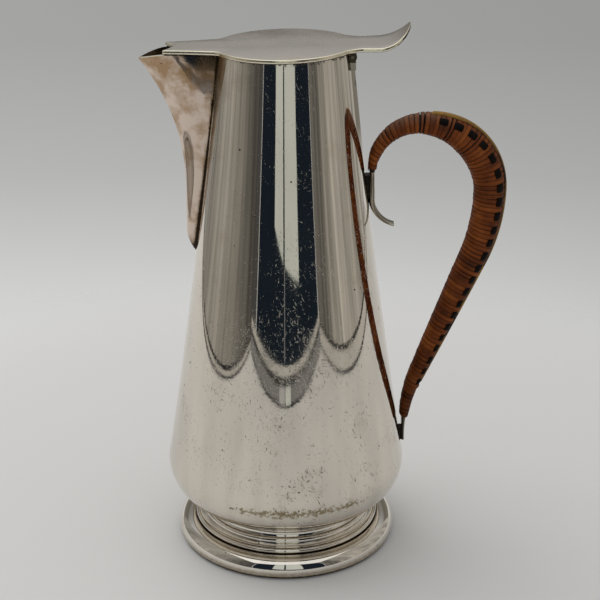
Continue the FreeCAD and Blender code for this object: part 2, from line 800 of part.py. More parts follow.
def make_winding(number, marks):
    total = run_end("lower") - size("cane_stop") - run_end("strap")
    share = total / windings
    loops = loops_along(share)
    pitch = share / (loops + 1)
    first = run_end("strap") + share * (number - 1)
    quarters = 4 * loops
    nudge = 1e-4
    points = []
    ways = []
    for quarter in range(quarters + 1):
        turn = quarter / 4
        points.append(winding_place(turn, pitch, first, marks))
        ahead = winding_place(turn + nudge, pitch, first, marks)
        behind = winding_place(turn - nudge, pitch, first, marks)
        ways.append((ahead - behind).normalize())
    arcs = []
    for index in range(quarters):
        arcs += biarc(points[index], ways[index], points[index + 1], ways[index + 1])
    diameter = size("cane_diameter")
    lead = Part.LineSegment(points[0] - ways[0] * diameter, points[0])
    tail = Part.LineSegment(points[-1], points[-1] + ways[-1] * diameter)
    curves = [lead] + arcs + [tail]
    path = Part.Wire([curve.toShape() for curve in curves])
    ring = Part.Circle(points[0] - ways[0] * diameter, ways[0], diameter / 2)
    tube = path.makePipeShell([Part.Wire([ring.toShape()])], True, False)
    winding = doc.addObject("Part::Feature", "cane_winding_%d" % number)
    winding.Shape = tube
    tightest = min(arc.toShape().Curve.Radius for arc in arcs)
    expected = path.Length * math.pi * diameter ** 2 / 4
    gap = least_gap(curves) - diameter
    print(winding.Name, "%d loops, least gap %.2f mm, tightest arc %.2f mm" % (loops, gap, tightest))
    print(winding.Name, "volume %.4f of section times length" % (tube.Volume / expected))
    if gap < 0.4:
        raise RuntimeError(winding.Name + " turns lie too close")
    return winding


def least_gap(curves):
    # The least distance from a point of the path to a point about a turn further on
    samples = []
    for curve in curves:
        edge = curve.toShape()
        samples += edge.discretize(5)[:-1]
    turn = 4 * 2 * 4
    best = samples[0].distanceToPoint(samples[turn])
    for index, point in enumerate(samples):
        for other in samples[index + turn // 2:index + 2 * turn]:
            best = min(best, point.distanceToPoint(other))
    return best


def make_plait(label, angle, marks):
    # A long strip over the turns, down the back of the grip
    first = run_end("shoulder")
    last = run_end("lower") - size("plait_stop")
    half_width = size("plait_width") / 2
    thickness = size("plait_thickness")
    wires = []
    for index in range(plait_section_count + 1):
        distance = first + (last - first) * index / plait_section_count
        point, way, out = handle_frame(distance)
        half, width = grip(distance, marks)
        lift = size("cane_diameter") - 2 * size("cane_bite")
        across = Vector(0, (width + lift) * math.sin(angle), 0)
        spot = point + out * ((half + lift) * math.cos(angle)) + across
        normal = (out * (math.cos(angle) / half) + Vector(0, math.sin(angle) / width, 0)).normalize()
        aside = way.cross(normal).normalize()
        corners = [spot - aside * half_width, spot + aside * half_width]
        corners += [corners[1] + normal * thickness, corners[0] + normal * thickness]
        wires.append(Part.makePolygon(corners + corners[:1]))
    strip = doc.addObject("Part::Feature", label)
    strip.Shape = Part.makeLoft(wires, True, False)
    return strip


blank = make_vessel_blank()
parts = [make_body_shell(), make_spout(blank), make_foot(), make_foot_wire()]
parts += [make_lid_plate(), make_lid_bezel()]
knuckle_names = ["body_knuckle_near", "lid_knuckle_near", "body_knuckle_middle",
                 "lid_knuckle_far", "body_knuckle_far"]
for place, name in enumerate(knuckle_names):
    parts.append(make_knuckle(name, place, name.startswith("lid")))
parts += [make_hinge_pin(), make_hinge_bearer(blank)]
core = make_handle_core()
parts.append(core)
doc.recompute()
parts.append(make_pad("handle_joint_upper", strap_place(), size("strap_low"),
                      "Sizes.upper_pad_height", blank, core))
parts.append(make_pad("handle_joint_lower", foot_place(), size("handle_foot"),
                      "Sizes.lower_pad_height", blank, core))
grip_marks = thickness_marks()
for number in range(1, windings + 1):
    parts.append(make_winding(number, grip_marks))
plait_turn = math.radians(size("plait_angle"))
for name, angle in (("plait_near", -plait_turn), ("plait_spine", 0.0), ("plait_far", plait_turn)):
    parts.append(make_plait(name, angle, grip_marks))

doc.recompute()
for thing in doc.Objects:
    if "Invalid" in thing.State or "Error" in thing.State:
        raise RuntimeError(thing.Label + " failed to build")
os.makedirs("parts", exist_ok=True)
for part in parts:
    if part.Shape.isNull() or not part.Shape.isValid() or len(part.Shape.Solids) != 1:
        raise RuntimeError(part.Label + " is not one sound solid")
    part.Shape.exportStep(os.path.join("parts", part.Label + ".step"))
print(len(parts), "sub-parts written")
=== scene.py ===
from functools import partial
from math import asin, atan2, cos, dist, floor, hypot, pi, radians, sin, sqrt, tan

import bmesh
import bpy
from mathutils import Matrix, Vector, noise


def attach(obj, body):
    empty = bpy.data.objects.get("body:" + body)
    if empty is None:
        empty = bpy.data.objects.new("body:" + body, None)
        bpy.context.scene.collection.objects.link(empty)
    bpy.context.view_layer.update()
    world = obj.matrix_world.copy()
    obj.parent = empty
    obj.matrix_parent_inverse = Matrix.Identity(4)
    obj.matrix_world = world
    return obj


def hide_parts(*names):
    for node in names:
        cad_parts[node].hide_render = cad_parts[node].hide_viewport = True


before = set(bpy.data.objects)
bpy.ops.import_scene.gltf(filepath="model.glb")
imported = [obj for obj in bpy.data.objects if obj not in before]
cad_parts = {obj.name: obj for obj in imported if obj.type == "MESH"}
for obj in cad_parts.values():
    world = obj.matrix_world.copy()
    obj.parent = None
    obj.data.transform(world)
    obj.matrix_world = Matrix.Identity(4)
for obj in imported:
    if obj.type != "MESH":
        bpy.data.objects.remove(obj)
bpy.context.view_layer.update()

mm = 0.001
print("frame loaded:", len(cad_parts), "nodes")


# Small tools: shapes are drawn in millimetres and turned to metres when a piece is finished
def linear(hexCode):
    parts = [int(hexCode[i:i + 2], 16) / 255 for i in (1, 3, 5)]
    return tuple(c / 12.92 if c <= 0.04045 else ((c + 0.055) / 1.055) ** 2.4 for c in parts) + (1.0,)


def grey(value, warm=0.0):
    return (value, value * (1 - 0.35 * warm), value * (1 - warm), 1.0)


def metres(values):
    return [v * mm for v in values]


def feed(node, inputs):
    # Inputs go by name, or in order in a list; each is a value, a socket, or a node's first output in use
    for place, source in inputs.items() if isinstance(inputs, dict) else enumerate(inputs):
        if isinstance(source, bpy.types.Node):
            source = next(s for s in source.outputs if s.enabled)
        if isinstance(source, bpy.types.NodeSocket):
            node.id_data.links.new(source, node.inputs[place])
        else:
            node.inputs[place].default_value = source


def addNode(tree, kind, inputs=(), stops=(), **settings):
    node = tree.nodes.new("ShaderNode" + kind)
    for name, value in settings.items():
        setattr(node, name, value)
    feed(node, inputs)
    if stops:
        ramp = node.color_ramp
        while len(ramp.elements) < len(stops):
            ramp.elements.new(1.0)
        for element, (place, colour) in zip(ramp.elements, stops):
            element.position = place
            element.color = colour
    return node


def newMaterial(name, **sockets):
    material = bpy.data.materials.new(name)
    material.use_nodes = True
    shader = material.node_tree.nodes["Principled BSDF"]
    feed(shader, sockets)
    add = partial(addNode, material.node_tree)
    return material, add, shader, add("TexCoord").outputs["Object"]


def putIn(name, data):
    thing = bpy.data.objects.new(name, data)
    bpy.context.scene.collection.objects.link(thing)
    return thing


def putMesh(bm, name, materials):
    mesh = bpy.data.meshes.new(name)
    bm.to_mesh(mesh)
    bm.free()
    for material in materials:
        mesh.materials.append(material)
    return putIn(name, mesh)


def finishPiece(bm, name, materials, nodes, body="pot", sharp=35):
    bmesh.ops.scale(bm, vec=(mm, mm, mm), verts=bm.verts)
    piece = putMesh(bm, name, materials)
    piece.data.shade_smooth()
    piece.data.set_sharp_from_angle(angle=radians(sharp))
    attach(piece, body)
    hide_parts(*nodes)
    print("piece", name, len(piece.data.polygons), "faces")


def vertsIn(geom):
    return [g for g in geom if isinstance(g, bmesh.types.BMVert)]


def lineTo(bm, vert, x, z, y=0.0):
    fresh = bmesh.ops.extrude_vert_indiv(bm, verts=[vert])["verts"][0]
    fresh.co = (x, y, z)
    return fresh


def arcTo(bm, vert, end, depth, steps, axis=(0, 1, 0)):
    # An arc across the axis that bulges by depth to the left of its way, or to the right if depth is negative
    start, end, axis = vert.co.copy(), Vector(end), Vector(axis)
    chord = end - start
    radius = chord.length ** 2 / (8 * abs(depth)) + abs(depth) / 2
    side = 1 if depth > 0 else -1
    left = chord.cross(axis).normalized() * side
    centre = (start + end) / 2 + left * (abs(depth) - radius)
    turn = 2 * asin(min(chord.length / (2 * radius), 1.0))
    made = bmesh.ops.spin(bm, geom=[vert], cent=centre, axis=axis, angle=turn * side, steps=steps)
    last = vertsIn(made["geom_last"])[0]
    last.co = end
    return last


def drawProfile(bm, moves, closed=True):
    # A move is (x, z) for the start or a line, or (x, z, depth, steps) for an arc
    start = vert = bm.verts.new((moves[0][0], 0, moves[0][1]))
    for x, z, *arc in moves[1:]:
        vert = arcTo(bm, vert, (x, 0, z), *arc) if arc else lineTo(bm, vert, x, z)
    if closed:
        bm.edges.new((vert, start))


def sweep(bm, steps, angle=0.0, rise=0.0, merge=False):
    # All that is drawn so far is carried about the upright axis, along it, or both
    bmesh.ops.spin(bm, geom=bm.verts[:] + bm.edges[:], cent=(0, 0, 0), axis=(0, 0, 1), angle=angle,
                   dvec=(0, 0, rise / steps), steps=steps, use_merge=merge)


def faceOut(bm):
    bmesh.ops.recalc_face_normals(bm, faces=bm.faces)


def turnRound(bm, steps):
    sweep(bm, steps, 2 * pi, merge=True)
    bmesh.ops.remove_doubles(bm, verts=bm.verts, dist=1e-4)
    faceOut(bm)


def thicken(bm, wall):
    bmesh.ops.solidify(bm, geom=bm.faces[:], thickness=wall)
    bm.normal_update()


def closeEnds(bm, mostSides=30):
    bmesh.ops.holes_fill(bm, edges=[e for e in bm.edges if e.is_boundary], sides=mostSides)


def paintShadeAndGrime(bm, howDark):
    # Darkening in corners, creases and along joints, kept on the piece as its own attribute: painted shade,
    # with some polishing dirt
    layer = bm.verts.layers.float.new("shadeAndGrime")
    for vert in bm.verts:
        vert[layer] = min(max(howDark(vert.co), 0.0), 1.0)


# Silver plate on nickel silver, hand polished: a warm mirror with grain, hairlines, pits, ripples and tarnish
plate = {
    "fineSize": 1.3, "gritSize": 1.1, "gritDepth": 0.0016, "wipeSize": 9.0, "wipeStretch": 9.0,
    "wipeTone": "#aaa49b", "pitSmallest": 0.03, "pitSpread": 0.13, "pitTone": "#2c261f", "pitDepth": 0.03,
    "hairSize": 0.55, "nickTone": "#463d33", "markTone": "#1d1814", "wearAndShadeRough": 0.3, "shadeAndGrimeRough": 0.35,
    "mostNoise": (0.35, 0.7),
}


def silverPlate(name, look):
    material, add, shader, place = newMaterial(name, Metallic=1.0)
    height = add("SeparateXYZ", [place]).outputs["Z"]
    grains = [(look["blotchSize"], 5.0, 0.62), (plate["fineSize"], 5.0, 0.72), (plate["gritSize"], 1.0, 0.5),
              (look["rippleSize"], 1.0, 0.5)]
    blotch, fine, grit, ripple = (
        add("TexNoise", {"Scale": 1 / (size * mm), "Detail": detail, "Roughness": uneven, "Vector": place})
        for size, detail, uneven in grains)
    # a mapped range lists its source, where it starts and ends, and what it starts and ends at if not 0 and 1
    rubbed = add("MapRange", [height, *metres(look["rubbed"])])
    thin = blotch
    if look.get("rise"):
        *span, amount = look["rise"]  # darker towards the second height: tarnish on the spout, painted shade at the rod's low end
        lift = add("MapRange", [height, *metres(span), 0.0, amount])
        thin = add("Math", [blotch, lift])
    thin = add("MapRange", [thin, look["tarnishFrom"], look["tarnishFrom"] + 0.2, 0.0, look["tarnish"]])
    # streaks left by the polishing cloth, up and down the piece
    drawn = add("Mapping", {"Scale": (1.0, 1.0, plate["wipeStretch"]), "Vector": place},
                vector_type="TEXTURE")
    wiped = add("TexNoise", {"Scale": 1 / (plate["wipeSize"] * mm), "Detail": 2.0, "Vector": drawn})
    wiped = add("MapRange", [wiped, *plate["mostNoise"], 0.0, look["streaks"]])
    # pits: some cells of a few millimetres hold a black speck, in clusters
    cells = add("TexVoronoi", {"Scale": 1 / (look["pitSpacing"] * mm), "Vector": place})
    lots = add("SeparateColor", [cells.outputs["Color"]])
    size = add("Math", [lots.outputs["Green"], plate["pitSpread"], plate["pitSmallest"]],
               operation="MULTIPLY_ADD")
    reach = add("Math", [cells.outputs["Distance"], size], operation="SUBTRACT")
    speck = add("MapRange", [reach, -0.03, 0.02, 1.0, 0.0])
    limit = add("MapRange", [blotch, 0.38, 0.66, 1 - 0.3 * look["pitShare"], 1 - 2.4 * look["pitShare"]])
    chosen = add("Math", [lots.outputs["Red"], limit], operation="GREATER_THAN")
    pit = add("Math", [speck, chosen], operation="MULTIPLY")
    # hairlines: stretched noise in several directions, drawn coarser than real so that they show
    deepest = None
    for turn in look["hairlines"]:
        turned = add("Mapping", {"Rotation": turn, "Scale": (look["hairLength"], 1.0, 1.0), "Vector": place},
                     vector_type="TEXTURE")
        hair = add("TexNoise", {"Scale": 1 / (plate["hairSize"] * mm), "Detail": 2.0, "Roughness": 0.6,
                   "Vector": turned})
        deepest = add("Math", [deepest, hair], operation="MAXIMUM") if deepest else hair
    for source, weight in ((rubbed, 0.04), (blotch, 0.35)):
        deepest = add("Math", [source, weight, deepest], operation="MULTIPLY_ADD")
    depth = look["hairFrom"]
    cut = add("MapRange", [deepest, depth, depth + 0.07])
    lines = add("Math", [pit, cut], operation="MAXIMUM")
    # the deepest of them hold dirt where the piece is most rubbed
    nick = add("MapRange", [deepest, depth + 0.06, depth + 0.1, 0.0, 0.8])
    nick = add("Math", [nick, rubbed], operation="MULTIPLY")
    low, high = look["rough"], look["rough"] + look["roughSpread"]
    rough = add("MapRange", [blotch, *plate["mostNoise"], low, high])
    dull = add("MapRange", [fine, 0.68, 0.77])
    # colours laid over the silver in this order, and what makes it rougher
    layers = [(thin, look["tarnishColour"]), (wiped, plate["wipeTone"]), (pit, plate["pitTone"]),
              (nick, plate["nickTone"])]
    dulling = [(lines, look["hairRough"]), (dull, look["hairRough"])]
    for *span, colour, centre, reach in look.get("wearAndShadeBands", ()):
        # specks between two heights and within reach of a place: worn-through plate on the low band, painted
        # shade just under the lid on the top band
        middle = add("MapRange", [height, *metres(span), -1.0, 1.0])
        away = add("Math", [middle], operation="ABSOLUTE")
        apart = add("VectorMath", [place, metres(centre)], operation="DISTANCE")
        beside = add("MapRange", [apart, 0.6 * reach * mm, reach * mm, 0.0, -0.35])
        wearAndShade = add("Math", [fine, beside])
        for source, weight in ((away, -0.2), (blotch, 0.3)):
            wearAndShade = add("Math", [source, weight, wearAndShade], operation="MULTIPLY_ADD")
        wearAndShade = add("MapRange", [wearAndShade, 0.55, 0.64, 0.0, 0.85])
        inside = add("MapRange", [away, 0.95, 0.6])
        wearAndShade = add("Math", [wearAndShade, inside], operation="MULTIPLY")
        layers.append((wearAndShade, colour))
        dulling.append((wearAndShade, plate["wearAndShadeRough"]))
    if look.get("mark"):
        spot, radius = look["mark"]  # one old black mark
        apart = add("VectorMath", [place, metres(spot)], operation="DISTANCE")
        black = add("MapRange", [apart, radius * mm, radius * 0.75 * mm])
        layers.append((black, plate["markTone"]))
    # the corner attribute: painted shade in creases and joints, with some dirt, laid on as a tan half shade
    # and near black
    if look.get("shadeAndGrime"):
        shadeAndDirt = add("Attribute", attribute_name="shadeAndGrime").outputs["Fac"]
        shadeAndDirt = add("Math", [fine, 0.7, shadeAndDirt], operation="MULTIPLY_ADD")
        shadeAndStain = add("MapRange", [shadeAndDirt, 0.42, 0.85, 0.0, 0.75])
        black = add("MapRange", [shadeAndDirt, 0.85, 1.05, 0.0, 0.93])
        layers += [(shadeAndStain, look["shadeAndStain"]), (black, look["shadeAndGrime"])]
        dulling.append((black, plate["shadeAndGrimeRough"]))
    tone = linear(look["silver"])
    for share, colour in layers:
        tone = add("Mix", {6: tone, 7: linear(colour), 0: share}, data_type="RGBA")
    for source, weight in dulling:
        rough = add("Math", [source, weight, rough], operation="MULTIPLY_ADD")
    # relief in millimetres: ripples, grain, hairlines and pits
    relief = add("Math", [ripple, look["ripple"]], operation="MULTIPLY")
    grain = add("Math", [grit, rubbed], operation="MULTIPLY")
    for source, deep in ((fine, look["grain"]), (grain, plate["gritDepth"]), (lines, -look["hairDepth"]),
                         (pit, -plate["pitDepth"])):
        relief = add("Math", [source, deep, relief], operation="MULTIPLY_ADD")
    bump = add("Bump", {"Strength": 1.0, "Distance": mm, "Height": relief})
    feed(shader, {"Base Color": tone, "Roughness": rough, "Normal": bump})
    return material


plainSilver = {
    "silver": "#ded5c6", "tarnishColour": "#a88f74", "blotchSize": 14.0, "tarnishFrom": 0.56, "tarnish": 0.3,
    "pitSpacing": 2.6, "pitShare": 0.05, "rough": 0.02, "roughSpread": 0.04, "hairRough": 0.15,
    "hairFrom": 0.86, "hairlines": [(0.2, 0.1, 0.5), (0.9, 1.1, 0.2), (0.3, 1.5, 1.0)], "hairDepth": 0.001,
    "hairLength": 14.0, "rippleSize": 16.0, "ripple": 0.02, "grain": 0.0008, "rubbed": (0.0, -50.0),
    "streaks": 0.0,
}
bodySilver = silverPlate("silverPlatePolishedBody", {
    **plainSilver, "silver": "#e3dcd0", "rubbed": (140.0, 100.0), "streaks": 0.3, "hairLength": 12.0,
    "hairRough": 0.32, "hairFrom": 0.855, "mark": ((25.8, -4.4, 186.5), 1.4),
    # the low band is worn plate; the top band, dark just under the lid, is painted shade
    "wearAndShadeBands": [(28.0, 34.0, "#82724f", (5, -44, 31), 36), (197.0, 200.6, "#2e2720", (0, 0, 197), 90)]})
# its near black and tan corner tones are painted shade along the joint with the body
spoutSilver = silverPlate("silverPlateTarnishedSpout", {
    **plainSilver, "silver": "#dac9bb", "tarnishColour": "#9d7b4e", "blotchSize": 9.0, "tarnishFrom": 0.5,
    "tarnish": 0.8, "rise": (160.0, 192.0, 0.14), "rough": 0.03, "roughSpread": 0.08, "pitShare": 0.08,
    "shadeAndGrime": "#1c1611", "shadeAndStain": "#7d6749"})
insideSilver = silverPlate("silverPlateStainedInside", {
    **plainSilver, "silver": "#5a4937", "tarnishColour": "#231a12", "blotchSize": 9.0, "tarnishFrom": 0.42,
    "tarnish": 0.9, "rough": 0.3, "roughSpread": 0.2})
lidSilver = silverPlate("silverPlateSatinLid", {
    **plainSilver, "silver": "#d3ccc1", "rough": 0.24, "roughSpread": 0.1, "pitShare": 0.03, "ripple": 0.006,
    "grain": 0.0002, "hairDepth": 0.0003})
edgeSilver = silverPlate("silverPlateWornEdge", {
    **plainSilver, "silver": "#f2ead2", "tarnishColour": "#8f7a4e", "blotchSize": 9.0, "tarnish": 0.4,
    "rough": 0.2})
# near black: painted shade on the lid's lower bevel and on the outer body knuckles
edgeShadeDark = silverPlate("silverPlatePaintedShadeEdge", {
    **plainSilver, "silver": "#4a4133", "tarnishColour": "#1f1811", "blotchSize": 5.0, "tarnish": 0.9,
    "rough": 0.3})
# its near black and tan corner tones are painted shade in the foot's creases and on the ring's groove and
# lower edge
footSilver = silverPlate("silverPlateSpunFoot", {
    **plainSilver, "silver": "#eae4da", "tarnishColour": "#8a7152", "tarnish": 0.2, "blotchSize": 10.0,
    "ripple": 0.006, "shadeAndGrime": "#1f1912", "shadeAndStain": "#8c7850"})
# its tarnish rises towards the low end of the handle: painted shade there
rodSilver = silverPlate("silverPlateRubbedRod", {
    **plainSilver, "silver": "#a59d8e", "tarnishColour": "#3d362b", "tarnish": 0.85, "blotchSize": 5.0,
    "rise": (75.0, 62.0, 0.5), "rough": 0.1})
print("silver finishes made")


# Body: floor, rounded base and slightly hollow taper, with the hinge notch and the pouring opening cut out
vessel = {
    "floorHeight": 17.0, "arcCentre": (31.0, 33.0), "arcRadius": 16.0, "taperCentre": (2611.5923, 461.9515),
    "taperRadius": 2600.0, "joint": (46.7834, 35.6236), "top": (24.6, 202.2), "wall": 1.0, "segments": 192,
    "arcSteps": 26, "taperSteps": 44, "rimHeight": 198.2, "rimFall": 1.2, "notchFrom": 22.5, "notchDrop": 3.7,
    "notchHalf": 9.6, "notchAbove": 185.0, "openingLow": 142.0, "openingHigh": 186.0, "openingHalf": 4.5,
    "openingSide": 8.0, "openingRoom": 6.0, "cutBeyond": 15.0, "inwardLean": -0.3, "floorLean": 0.5,
    "floorBelow": 40.0,
}


def vesselRadius(z):
    if z >= vessel["joint"][1]:
        cx, cz = vessel["taperCentre"]
        return cx - sqrt(vessel["taperRadius"] ** 2 - (z - cz) ** 2)
    cx, cz = vessel["arcCentre"]
    return cx + sqrt(max(vessel["arcRadius"] ** 2 - (z - cz) ** 2, 0.0))


rimTurn = Matrix.Rotation(-radians(vessel["rimFall"]), 4, "Y")
rimFrame = Matrix.Translation((0, 0, vessel["rimHeight"])) @ rimTurn


def cutSheet(bm, faces, point, normal, clear=False):
    geom = list({g for f in faces for g in [f, *f.edges, *f.verts]})
    bmesh.ops.bisect_plane(bm, geom=geom, plane_co=point, plane_no=normal, clear_outer=clear, dist=1e-5)


def facesIn(bm, test):
    return [f for f in bm.faces if test(f.calc_center_median())]


def makeBody():
    bm = bmesh.new()
    cx, cz = vessel["arcCentre"]
    level, joint, top = vessel["floorHeight"], vessel["joint"], vessel["top"]
    turn = pi / 2 + atan2(joint[1] - cz, joint[0] - cx)
    bulge = vessel["arcRadius"] * (1 - cos(turn / 2))
    chord = dist(joint, top)
    hollow = vessel["taperRadius"] - sqrt(vessel["taperRadius"] ** 2 - chord ** 2 / 4)
    drawProfile(bm, [(0, level), (cx, level), (*joint, -bulge, vessel["arcSteps"]),
                     (*top, hollow, vessel["taperSteps"])], closed=False)
    turnRound(bm, vessel["segments"])
    side = max(bm.faces, key=lambda f: f.calc_center_median().x)
    if side.normal.x < 0:
        bmesh.ops.reverse_faces(bm, faces=bm.faces)
    rimUp = rimTurn @ Vector((0, 0, 1))
    cutSheet(bm, bm.faces[:], rimFrame.translation, rimUp, clear=True)

    def nearHinge(spot):
        return spot.x > vessel["cutBeyond"] and spot.z > vessel["notchAbove"]

    low = rimFrame @ Vector((vessel["notchFrom"], 0, -vessel["notchDrop"]))
    half = vessel["notchHalf"]
    for point, normal in ((low, rimUp), ((0, half, 0), (0, 1, 0)), ((0, -half, 0), (0, 1, 0))):
        cutSheet(bm, facesIn(bm, nearHinge), point, normal)
    notch = facesIn(bm, lambda s: nearHinge(s) and abs(s.y) < half
                    and (rimFrame.inverted() @ s).z > -vessel["notchDrop"])
    bmesh.ops.delete(bm, geom=notch, context="FACES")
    foot, head, room = vessel["openingLow"], vessel["openingHigh"], vessel["openingRoom"]

    def nearSpout(spot):
        level = foot - room < spot.z < head + room
        return level and spot.x < -vessel["cutBeyond"] and abs(spot.y) < vessel["openingSide"]

    tall = head - foot  # the opening is a triangle, point down
    lean = Vector((0, tall, -vessel["openingHalf"])).normalized()
    for normal in (lean, Vector((0, -lean.y, lean.z))):
        cutSheet(bm, facesIn(bm, nearSpout), (0, 0, foot), normal)
    cutSheet(bm, facesIn(bm, nearSpout), (0, 0, head), (0, 0, 1))
    opening = facesIn(bm, lambda s: nearSpout(s) and s.z < head
                      and abs(s.y) < vessel["openingHalf"] * (s.z - foot) / tall)
    bmesh.ops.delete(bm, geom=opening, context="FACES")
    thicken(bm, vessel["wall"])
    for face in bm.faces:
        spot = face.calc_center_median()
        lean = (face.normal.x * spot.x + face.normal.y * spot.y) / max(hypot(spot.x, spot.y), 1e-9)
        onFloor = face.normal.z > vessel["floorLean"] and spot.z < vessel["floorBelow"]
        if lean < vessel["inwardLean"] or onFloor:
            face.material_index = 1
    finishPiece(bm, "bodyShell", [bodySilver, insideSilver], ["body_shell"])


makeBody()


# Spout: a folded sheet whose plan is a pointed arch; it stands on the wall and ends in a drooping lip
beak = {
    "low": 119.4, "base": 117.0, "tall": 81.2, "noseHeight": 128.0, "bendHeight": 148.0, "front": 37.317,
    "bend": 76.0, "halfWidth": 7.8, "noseCurve": 0.05, "lipReach": 44.0, "lipLength": 10.0, "lipDrop": 2.6,
    "wall": 0.9, "rows": 36, "arcSteps": 10, "rootSteps": 5, "sink": 0.55, "shadeAndGrimeTop": 0.5, "shadeAndGrimeLow": 1.5,
    "shadeAndGrimeTip": 9.0, "fitRounds": 12, "lipLean": 0.7, "backLean": 0.35, "inwardLean": -0.25,
}


def beakFront(z):
    if z < beak["noseHeight"]:
        return beak["front"] - beak["noseCurve"] * (beak["noseHeight"] - z) ** 2
    if z < beak["bendHeight"]:
        return beak["front"]
    return beak["front"] + beak["bend"] - sqrt(beak["bend"] ** 2 - (z - beak["bendHeight"]) ** 2)


def beakPoint(z, column):
    # column runs from 0 at the far wall to 1 at the nose and 2 at the near wall
    half = beak["halfWidth"] * sqrt(max((z - beak["base"]) / beak["tall"], 0.01))
    nose, wall = beakFront(z), vesselRadius(z)
    straight = nose - min(max(nose - wall, half), 2 * half)
    root = sqrt((wall - beak["sink"]) ** 2 - half ** 2)
    radius = (half ** 2 + (nose - straight) ** 2) / (2 * half)
    spread = atan2(nose - straight, radius - half)
    flat = beak["rootSteps"]
    share = (1 - abs(column - 1)) * (beak["arcSteps"] + flat) - flat
    if share < 0:
        x, y = root + (straight - root) * ((share + flat) / flat) ** 2, half  # closer together at the wall
    else:
        angle = spread * share / beak["arcSteps"]
        x, y = straight + radius * sin(angle), half - radius + radius * cos(angle)
    return Vector((-x, y if column <= 1 else -y, z))


def beakTop(x):
    beyond = max(-x - beak["lipReach"], 0.0) / beak["lipLength"]
    fall = tan(radians(vessel["rimFall"])) * x
    return vessel["rimHeight"] + fall - beak["lipDrop"] * beyond ** 1.3


def makeSpout():
    bm = bmesh.new()
    count = beak["arcSteps"] + beak["rootSteps"]
    columns = [i / count for i in range(2 * count + 1)]
    tops = []
    for column in columns:
        z = vessel["rimHeight"]
        for i in range(beak["fitRounds"]):
            z = beakTop(beakPoint(z, column).x)
        tops.append(z)
    row = [bm.verts.new(beakPoint(beak["low"], column)) for column in columns]
    edges = [bm.edges.new(pair) for pair in zip(row, row[1:])]
    for step in range(1, beak["rows"] + 1):
        made = bmesh.ops.extrude_edge_only(bm, edges=edges)["geom"]
        fresh = set(vertsIn(made))
        edges = [e for e in made if isinstance(e, bmesh.types.BMEdge) and set(e.verts) <= fresh]
        above = {e.other_vert(v): v for v in fresh for e in v.link_edges if e.other_vert(v) not in fresh}
        row = [above[v] for v in row]
        for vert, column, top in zip(row, columns, tops):
            vert.co = beakPoint(beak["low"] + (top - beak["low"]) * step / beak["rows"], column)
    faceOut(bm)
    nose = min(bm.faces, key=lambda f: f.calc_center_median().x)
    if nose.normal.x > 0:
        bmesh.ops.reverse_faces(bm, faces=bm.faces)
    thicken(bm, beak["wall"])
    for face in bm.faces:
        spot = face.calc_center_median()
        if face.normal.z > beak["lipLean"]:
            face.material_index = 2
        elif face.normal.x > beak["backLean"] or face.normal.y * spot.y < beak["inwardLean"] * abs(spot.y):
            face.material_index = 1

    # painted shade: a dark band along the joint with the body, wider lower down, and over the lowest tip
    def corner(spot):
        share = (spot.z - beak["low"]) / (vessel["rimHeight"] - beak["low"])
        wide = beak["shadeAndGrimeLow"] + (beak["shadeAndGrimeTop"] - beak["shadeAndGrimeLow"]) * min(share * 1.6, 1.0)
        lowTip = max(1 - (spot.z - beak["low"]) / beak["shadeAndGrimeTip"], 0.0)
        return max(1.15 - 0.8 * (hypot(spot.x, spot.y) - vesselRadius(spot.z)) / wide, lowTip)

    paintShadeAndGrime(bm, corner)
    finishes = [spoutSilver, insideSilver, edgeSilver]  # outside, inside, lip
    finishPiece(bm, "spoutBeak", finishes, ["spout"], sharp=40)


makeSpout()


# Foot: a spun neck with two reeds, a bead, a cove and a low bead, and a heavy rounded ring outside its skirt
footing = {
    "segments": 192, "neck": 30.8, "neckTop": 17.2, "skirt": 36.0, "wall": 1.0, "bottom": 0.6,
    "reeds": [(31.9, 15.8, 0.3), (32.3, 14.6, 0.22)], "hollow": (32.9, 12.6, -0.3), "bead": (33.4, 10.2, 0.9),
    "cove": (35.6, 9.25, -0.35), "lowBead": (36.6, 7.6, 0.75), "groove": 6.7, "innerTurn": 8.4,
    "innerCove": 1.9, "ringFoot": 41.9, "ringToe": 0.45, "ringSide": (43.5, 1.7), "ringTop": (37.2, 7.5),
    "ringRound": 2.5, "ringDip": 0.3, "ringEase": 0.05, "gap": 0.9, "beadSteps": 10, "coveSteps": 12,
    "roundSteps": 30, "easeSteps": 4, "upperHalf": 5.5,
}


def makeFoot():
    bm = bmesh.new()
    skirt, neck, wall = footing["skirt"], footing["neck"], footing["wall"]
    turns = footing["reeds"] + [footing[k] for k in ("hollow", "bead", "cove", "lowBead")]
    drawProfile(bm, [
        (neck, footing["neckTop"]), *[(*turn, footing["beadSteps"]) for turn in turns],
        (skirt, footing["groove"]), (skirt, footing["bottom"]), (skirt - wall, footing["bottom"]),
        (skirt - wall, footing["innerTurn"]),
        (neck - wall, footing["neckTop"], footing["innerCove"], footing["coveSteps"])])
    turnRound(bm, footing["segments"])

    # painted shade, with some dirt: dark in the groove below the low bead and at the folds between the
    # mouldings
    def corner(spot):
        across = hypot(spot.x, spot.y)
        outside = across > skirt - 0.1
        groove = 1.0 if outside and spot.z < footing["lowBead"][1] + 0.15 else 0.0
        folds = [turn[:2] for turn in turns[:-1]]
        return max([groove] + [0.85 - 3 * dist((across, spot.z), fold) for fold in folds])

    paintShadeAndGrime(bm, corner)
    finishPiece(bm, "footSpun", [footSilver], ["foot"], sharp=40)


